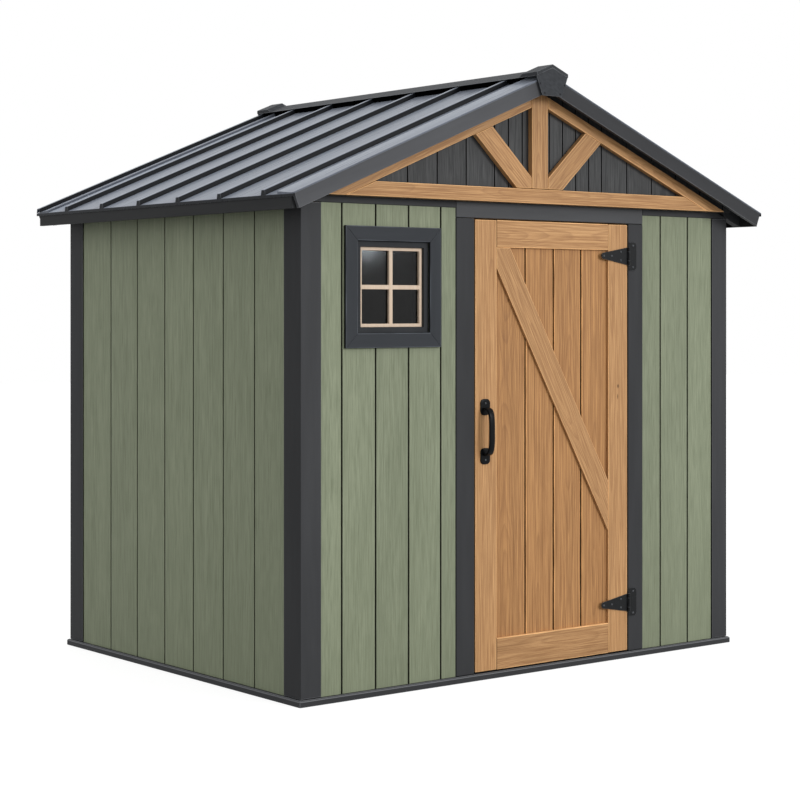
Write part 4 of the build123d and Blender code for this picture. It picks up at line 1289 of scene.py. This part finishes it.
class ShedRoof(bpy.types.Operator):
    """Builds the ribbed sheets, flashings, ridge cap and ridge ends"""

    bl_idname = "shed.roof"
    bl_label = "Metal roof"

    def execute(self, context):
        sizes = context.scene.shed_roof
        ribs = sizes.first_rib + sizes.rib_pitch * np.arange(sizes.rib_count)
        right = self.sheet(sizes, ribs)
        left = [mirrored(item) for item in right]
        rows = (
            ("sheet_right", right, "Coated roof sheet", ["roof_sheet_right"]),
            ("sheet_left", left, "Coated roof sheet", ["roof_sheet_left"]),
            ("flashings", both_sides(self.edge_flashings(sizes)), "Coated roof sheet",
             ["rake_flashings"]),
            # Painted shade: near-black foam strips under the cap's edge
            ("cap_closures", both_sides(self.closures(ribs)), "Closure foam", []),
        )
        for name, made, coat, sources in rows:
            piece_of_solids(name, made, SHED, [coat], sources)
        for source, name, radius, segments, sharp in (
            ("ridge_cap", "cap", 0.0009, 2, 30.0),
            ("ridge_ends", "end_caps", 0.0008, 1, 1.2),
        ):
            eased_copy(source, name, SHED, ["Coated roof trim", "Coated trim edges"],
                       along_y, radius, segments, sharp=sharp)
        piece_of_solids("end_cap_screws", self.end_screws(context.scene.shed_joinery.screw_radius), SHED,
                        ["Black iron"])
        return {"FINISHED"}

    @staticmethod
    def carried(section, x0, x1, shade):
        """A closed (y, offset) section carried down the slope from x0 to x1, plumb at its ends.

        Shade marks the section's points that the coating's shade colour covers, as painted shade.
        """
        y, offset = section.T
        rings = [np.stack([np.full(len(y), x), y, roof_height(x, offset)], axis=1) for x in (x0, x1)]
        grains = [np.stack([y, offset, np.full(len(y), x)], axis=1) for x in (x0, x1)]
        return solid(rings, grains, groove=[shade, shade])

    def sheet(self, sizes, ribs):
        """The folded sheet, the stops in its ribs' ends and the drip edge; the rib sides, the stops and
        the drip edge take painted shade.
        """
        thickness, lip_depth, overlap = 0.002, 0.010, 0.001
        stop_from, stop_to = DRIP_X - 0.003, DRIP_X - 0.0008
        rib_top = PAN + sizes.rib_height
        base_half, top_half = 0.016, 0.012
        fold = sizes.fold_radius
        inner = max(fold - thickness, 0.0004)
        rim = 0.0005

        def profile(height, inset, rib_radii):
            """One face of the sheet and its folds' radii, drawn in by inset at each rib."""
            points = [(-BARGE_FACE_Y, PAN - height)]
            for y in ribs:
                points += [(y - base_half + inset, PAN - height), (y - top_half + inset, rib_top - height),
                           (y + top_half - inset, rib_top - height),
                           (y + base_half - inset, PAN - height)]
            points.append((BARGE_FACE_Y, PAN - height))
            return points, [rim, *rib_radii * len(ribs), rim]

        upper, upper_radii = profile(0.0, 0.0, (inner, fold, fold, inner))
        lower, lower_radii = profile(thickness, thickness, (fold, inner, inner, fold))
        outline = eased(upper + lower[::-1], upper_radii + lower_radii[::-1], 4)
        beside = np.abs(outline[:, :1] - ribs).min(axis=1)
        on_side = (beside > top_half - rim) & (beside < base_half + rim)
        # Painted shade on the ribs' sides
        made = [self.carried(outline, 0.008, DRIP_X, on_side.astype(float))]
        for y in ribs:
            low, high = base_half - overlap, top_half - overlap
            stop = eased([(y - low, PAN - thickness), (y - high, rib_top - overlap),
                          (y + high, rib_top - overlap), (y + low, PAN - thickness)], 0.001)
            # Painted shade: the stops are wholly dark
            made.append(self.carried(stop, stop_from, stop_to, np.ones(len(stop))))
        edge = float(roof_height(DRIP_X, PAN - thickness))
        lip = eased([(DRIP_X - thickness, edge - lip_depth), (DRIP_X, edge - lip_depth),
                     (DRIP_X, edge + overlap), (DRIP_X - thickness, edge + overlap)], 0.0006)
        # Painted shade: the drip edge is wholly dark, a dark line under the sheet's edge
        made.append(solid(spanned(lip, -BARGE_FACE_Y, BARGE_FACE_Y), groove=np.ones((2, len(lip)))))
        return made

    def edge_flashings(self, sizes):
        """The folded flashings along the front edge and, with a hollow rib, the rear edge."""
        width, upturn, flat, rib_width = 0.110, 0.007, 0.024, 0.032
        wall, lean, lean_within = 0.002, 0.004, 0.006
        end = BARGE_FACE_Y
        inside, start, top = end - width, end - rib_width, PAN + sizes.rib_height
        front = [(-inside, PAN), (-inside, upturn), (-end + flat, 0.0), (-end, 0.0), (-end, PAN)]
        rear = [(inside, PAN), (inside, upturn), (start, 0.0), (start + lean, top), (end - lean, top),
                (end, 0.0), (end - wall, PAN), (end - lean_within, top - wall),
                (start + lean_within, top - wall), (start + wall, PAN)]
        made = []
        for section, shaded in ((front, False), (rear, True)):
            outline = eased(section, 0.0006)
            beside = np.abs(outline[:, 0] - start - wall) < 0.0025
            # Painted shade on the inner side of the rear flashing's rib
            made.append(self.carried(outline, 0.0005, DRIP_X, (beside & shaded).astype(float)))
        return made

    @staticmethod
    def closures(ribs):
        """Foam strips under the cap's edge, from rib to rib, near black: a part in painted shade for the
        shadow under the cap.
        """
        inner, outer, under_cap = 0.062, 0.074, 0.0205
        half_rib, flashing = 0.0125, 0.112
        outline = np.array([
            (inner, roof_height(inner, PAN)), (outer, roof_height(outer, PAN)),
            (outer, roof_height(outer, under_cap)), (inner, roof_height(inner, under_cap)),
        ])
        starts = [-BARGE_FACE_Y + flashing, *ribs]
        ends = [*ribs, BARGE_FACE_Y - flashing]
        return [solid(spanned(outline, start + half_rib, end - half_rib))
                for start, end in zip(starts, ends)]

    @staticmethod
    def end_screws(radius):
        """Four screws on each ridge end plate, on its two slightly turned halves."""
        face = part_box("ridge_ends")[1].y
        half_width, turned_in = 0.089, 0.0035
        holes = ((0.070, 2.507), (0.044, 2.468))
        made = []
        for sign in (-1, 1):
            for side in (-1, 1):
                places = [(side * x, sign * (face - turned_in * x / half_width), z) for x, z in holes]
                made += dome_screws(places, (0, sign, 0), radius * 0.8, radius * 0.4)
        return made


class ShedCarcass(bpy.types.Operator):
    """Finishes the frame inside: studs, plates, rafters, roof deck and floor"""

    bl_idname = "shed.carcass"
    bl_label = "Frame and floor"

    def execute(self, context):
        radius = 0.0015
        rows = (
            ("wall_studs", "studs", along_z),
            ("side_wall_plates", "side_plates", along_y),
            ("end_wall_plates", "end_plates", along_x),
            ("wall_noggings", "noggings", along_x),
            ("rafters", "rafter_timbers", along_slant(ROOF_SLOPE)),
            ("ridge_board", "ridge_timber", along_y),
            ("gable_ties", "tie_timbers", along_x),
            ("floor_bearers", "bearers", along_y),
            ("roof_deck", "deck_sheets", along_y),
        )
        for seed, (source, name, grain) in enumerate(rows, 101):
            eased_copy(source, name, SHED, ["Carcass softwood"], grain, radius, 1, seed)
        low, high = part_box("floor_deck")
        axes = ((0, 0, high.z), (0, 1, 0), (0, 0, -1), (1, 0, 0))
        groove = (0.003, 0.004, 0.0015)
        made = boards(evenly(low.y, high.y, 12), axes, low.x, high.x, high.z - low.z, groove, 111)
        piece_of_solids("floor_boards", made, SHED, ["Floor softwood"], ["floor_deck"])
        return {"FINISHED"}


class ShedStage(bpy.types.Operator):
    """Sets the floor, the light and the camera"""

    bl_idname = "shed.stage"
    bl_label = "Stage"

    def execute(self, context):
        scene = context.scene
        stage = scene.shed_stage
        half = 30.0
        mesh = bpy.data.meshes.new("floor")
        mesh.from_pydata([(-half, -half, 0), (half, -half, 0), (half, half, 0), (-half, half, 0)],
                         [], [(0, 1, 2, 3)])
        floor = bpy.data.objects.new("floor", mesh)
        scene.collection.objects.link(floor)
        mesh.materials.append(floor_surface("Pale floor", (0.32, 0.32, 0.32, 1), stage.floor_glow))
        self.sky(scene, stage.sky)
        self.lamp("Key", (11.5, -25.0, 9.0), (0.2, -0.9, 1.1), 9.0, stage.key_power)
        pane_light = self.lamp("Pane light", (3.4, -6.5, 2.07), (-0.8, -0.9, 1.77), 0.2, 2.6)
        pane_light.rotation_euler.rotate_axis("Z", math.radians(45))
        pane_light.data.color = (0.85, 0.93, 1.0)
        camera = bpy.data.objects.new("Camera", bpy.data.cameras.new("Camera"))
        scene.collection.objects.link(camera)
        camera.location = (-5.6598, -7.1564, 1.551)
        camera.rotation_euler = (math.radians(90), 0, math.radians(-38.35))
        camera.data.lens = 88.27
        camera.data.shift_y = -0.1124
        scene.camera = camera
        scene.view_settings.view_transform = "Standard"
        return {"FINISHED"}

    @staticmethod
    def sky(scene, strength):
        """An even sky that the camera and reflections see as white."""
        scene.world = scene.world or bpy.data.worlds.new("World")
        scene.world.use_nodes = True
        sky = Nodes(scene.world.node_tree)
        background = sky.tree.nodes["Background"].inputs
        background["Color"].default_value = (1, 1, 1, 1)
        sky.plug(background["Strength"], sky.remap(sky.seen(), 0.0, 1.0, strength, 1.0))

    @staticmethod
    def lamp(name, place, target, size, power):
        """A square soft lamp that looks at a point."""
        data = bpy.data.lights.new(name, "AREA")
        data.size = size
        data.energy = power
        lamp = bpy.data.objects.new(name, data)
        bpy.context.scene.collection.objects.link(lamp)
        lamp.location = place
        direction = np.subtract(target, place)
        flat = math.hypot(direction[0], direction[1])
        turn = math.atan2(direction[1], direction[0]) - math.pi / 2
        lamp.rotation_euler = (math.atan2(flat, -direction[2]), 0, turn)
        lamp.visible_camera = False
        return lamp


class ShedPanel(bpy.types.Panel):
    """Lists the shed's pieces and settings"""

    bl_idname = "VIEW3D_PT_shed"
    bl_label = "Garden shed"
    bl_space_type = "VIEW_3D"
    bl_region_type = "UI"
    bl_category = "Shed"

    def draw(self, context):
        for name in SETTINGS:
            settings = getattr(context.scene, name)
            box = self.layout.box()
            for key in settings.__annotations__:
                box.prop(settings, key)
        for operator in OPERATORS:
            self.layout.operator(operator.bl_idname)


SETTINGS = {
    "shed_boards": ShedBoardSettings,
    "shed_joinery": ShedJoinerySettings,
    "shed_roof": ShedRoofSettings,
    "shed_colours": ShedColourSettings,
    "shed_stage": ShedStageSettings,
}
OPERATORS = (
    ShedStage, ShedWallBoards, ShedGableBoards, ShedTrim, ShedWindow, ShedDoor,
    ShedTruss, ShedHinges, ShedHandle, ShedRoof, ShedCarcass,
)


def register():
    """Makes the settings, operators and panel known."""
    for name, kind in SETTINGS.items():
        bpy.utils.register_class(kind)
        setattr(bpy.types.Scene, name, bpy.props.PointerProperty(type=kind))
    for kind in (*OPERATORS, ShedPanel):
        bpy.utils.register_class(kind)


def unregister():
    """Takes them away again."""
    for kind in (ShedPanel, *reversed(OPERATORS)):
        bpy.utils.unregister_class(kind)
    for name, kind in SETTINGS.items():
        delattr(bpy.types.Scene, name)
        bpy.utils.unregister_class(kind)


def main():
    """Builds every piece."""
    register()
    for maker in (make_timber_figure, make_brushed_streaks, make_edge_wear_and_highlight, make_painted_foot_shade):
        maker()
    bpy.ops.shed.stage()
    bpy.ops.shed.wall_boards()
    bpy.ops.shed.gable_boards()
    bpy.ops.shed.trim()
    bpy.ops.shed.window()
    bpy.ops.shed.door()
    bpy.ops.shed.truss()
    bpy.ops.shed.hinges()
    bpy.ops.shed.handle()
    bpy.ops.shed.roof()
    bpy.ops.shed.carcass()


if __name__ == "__main__":
    main()
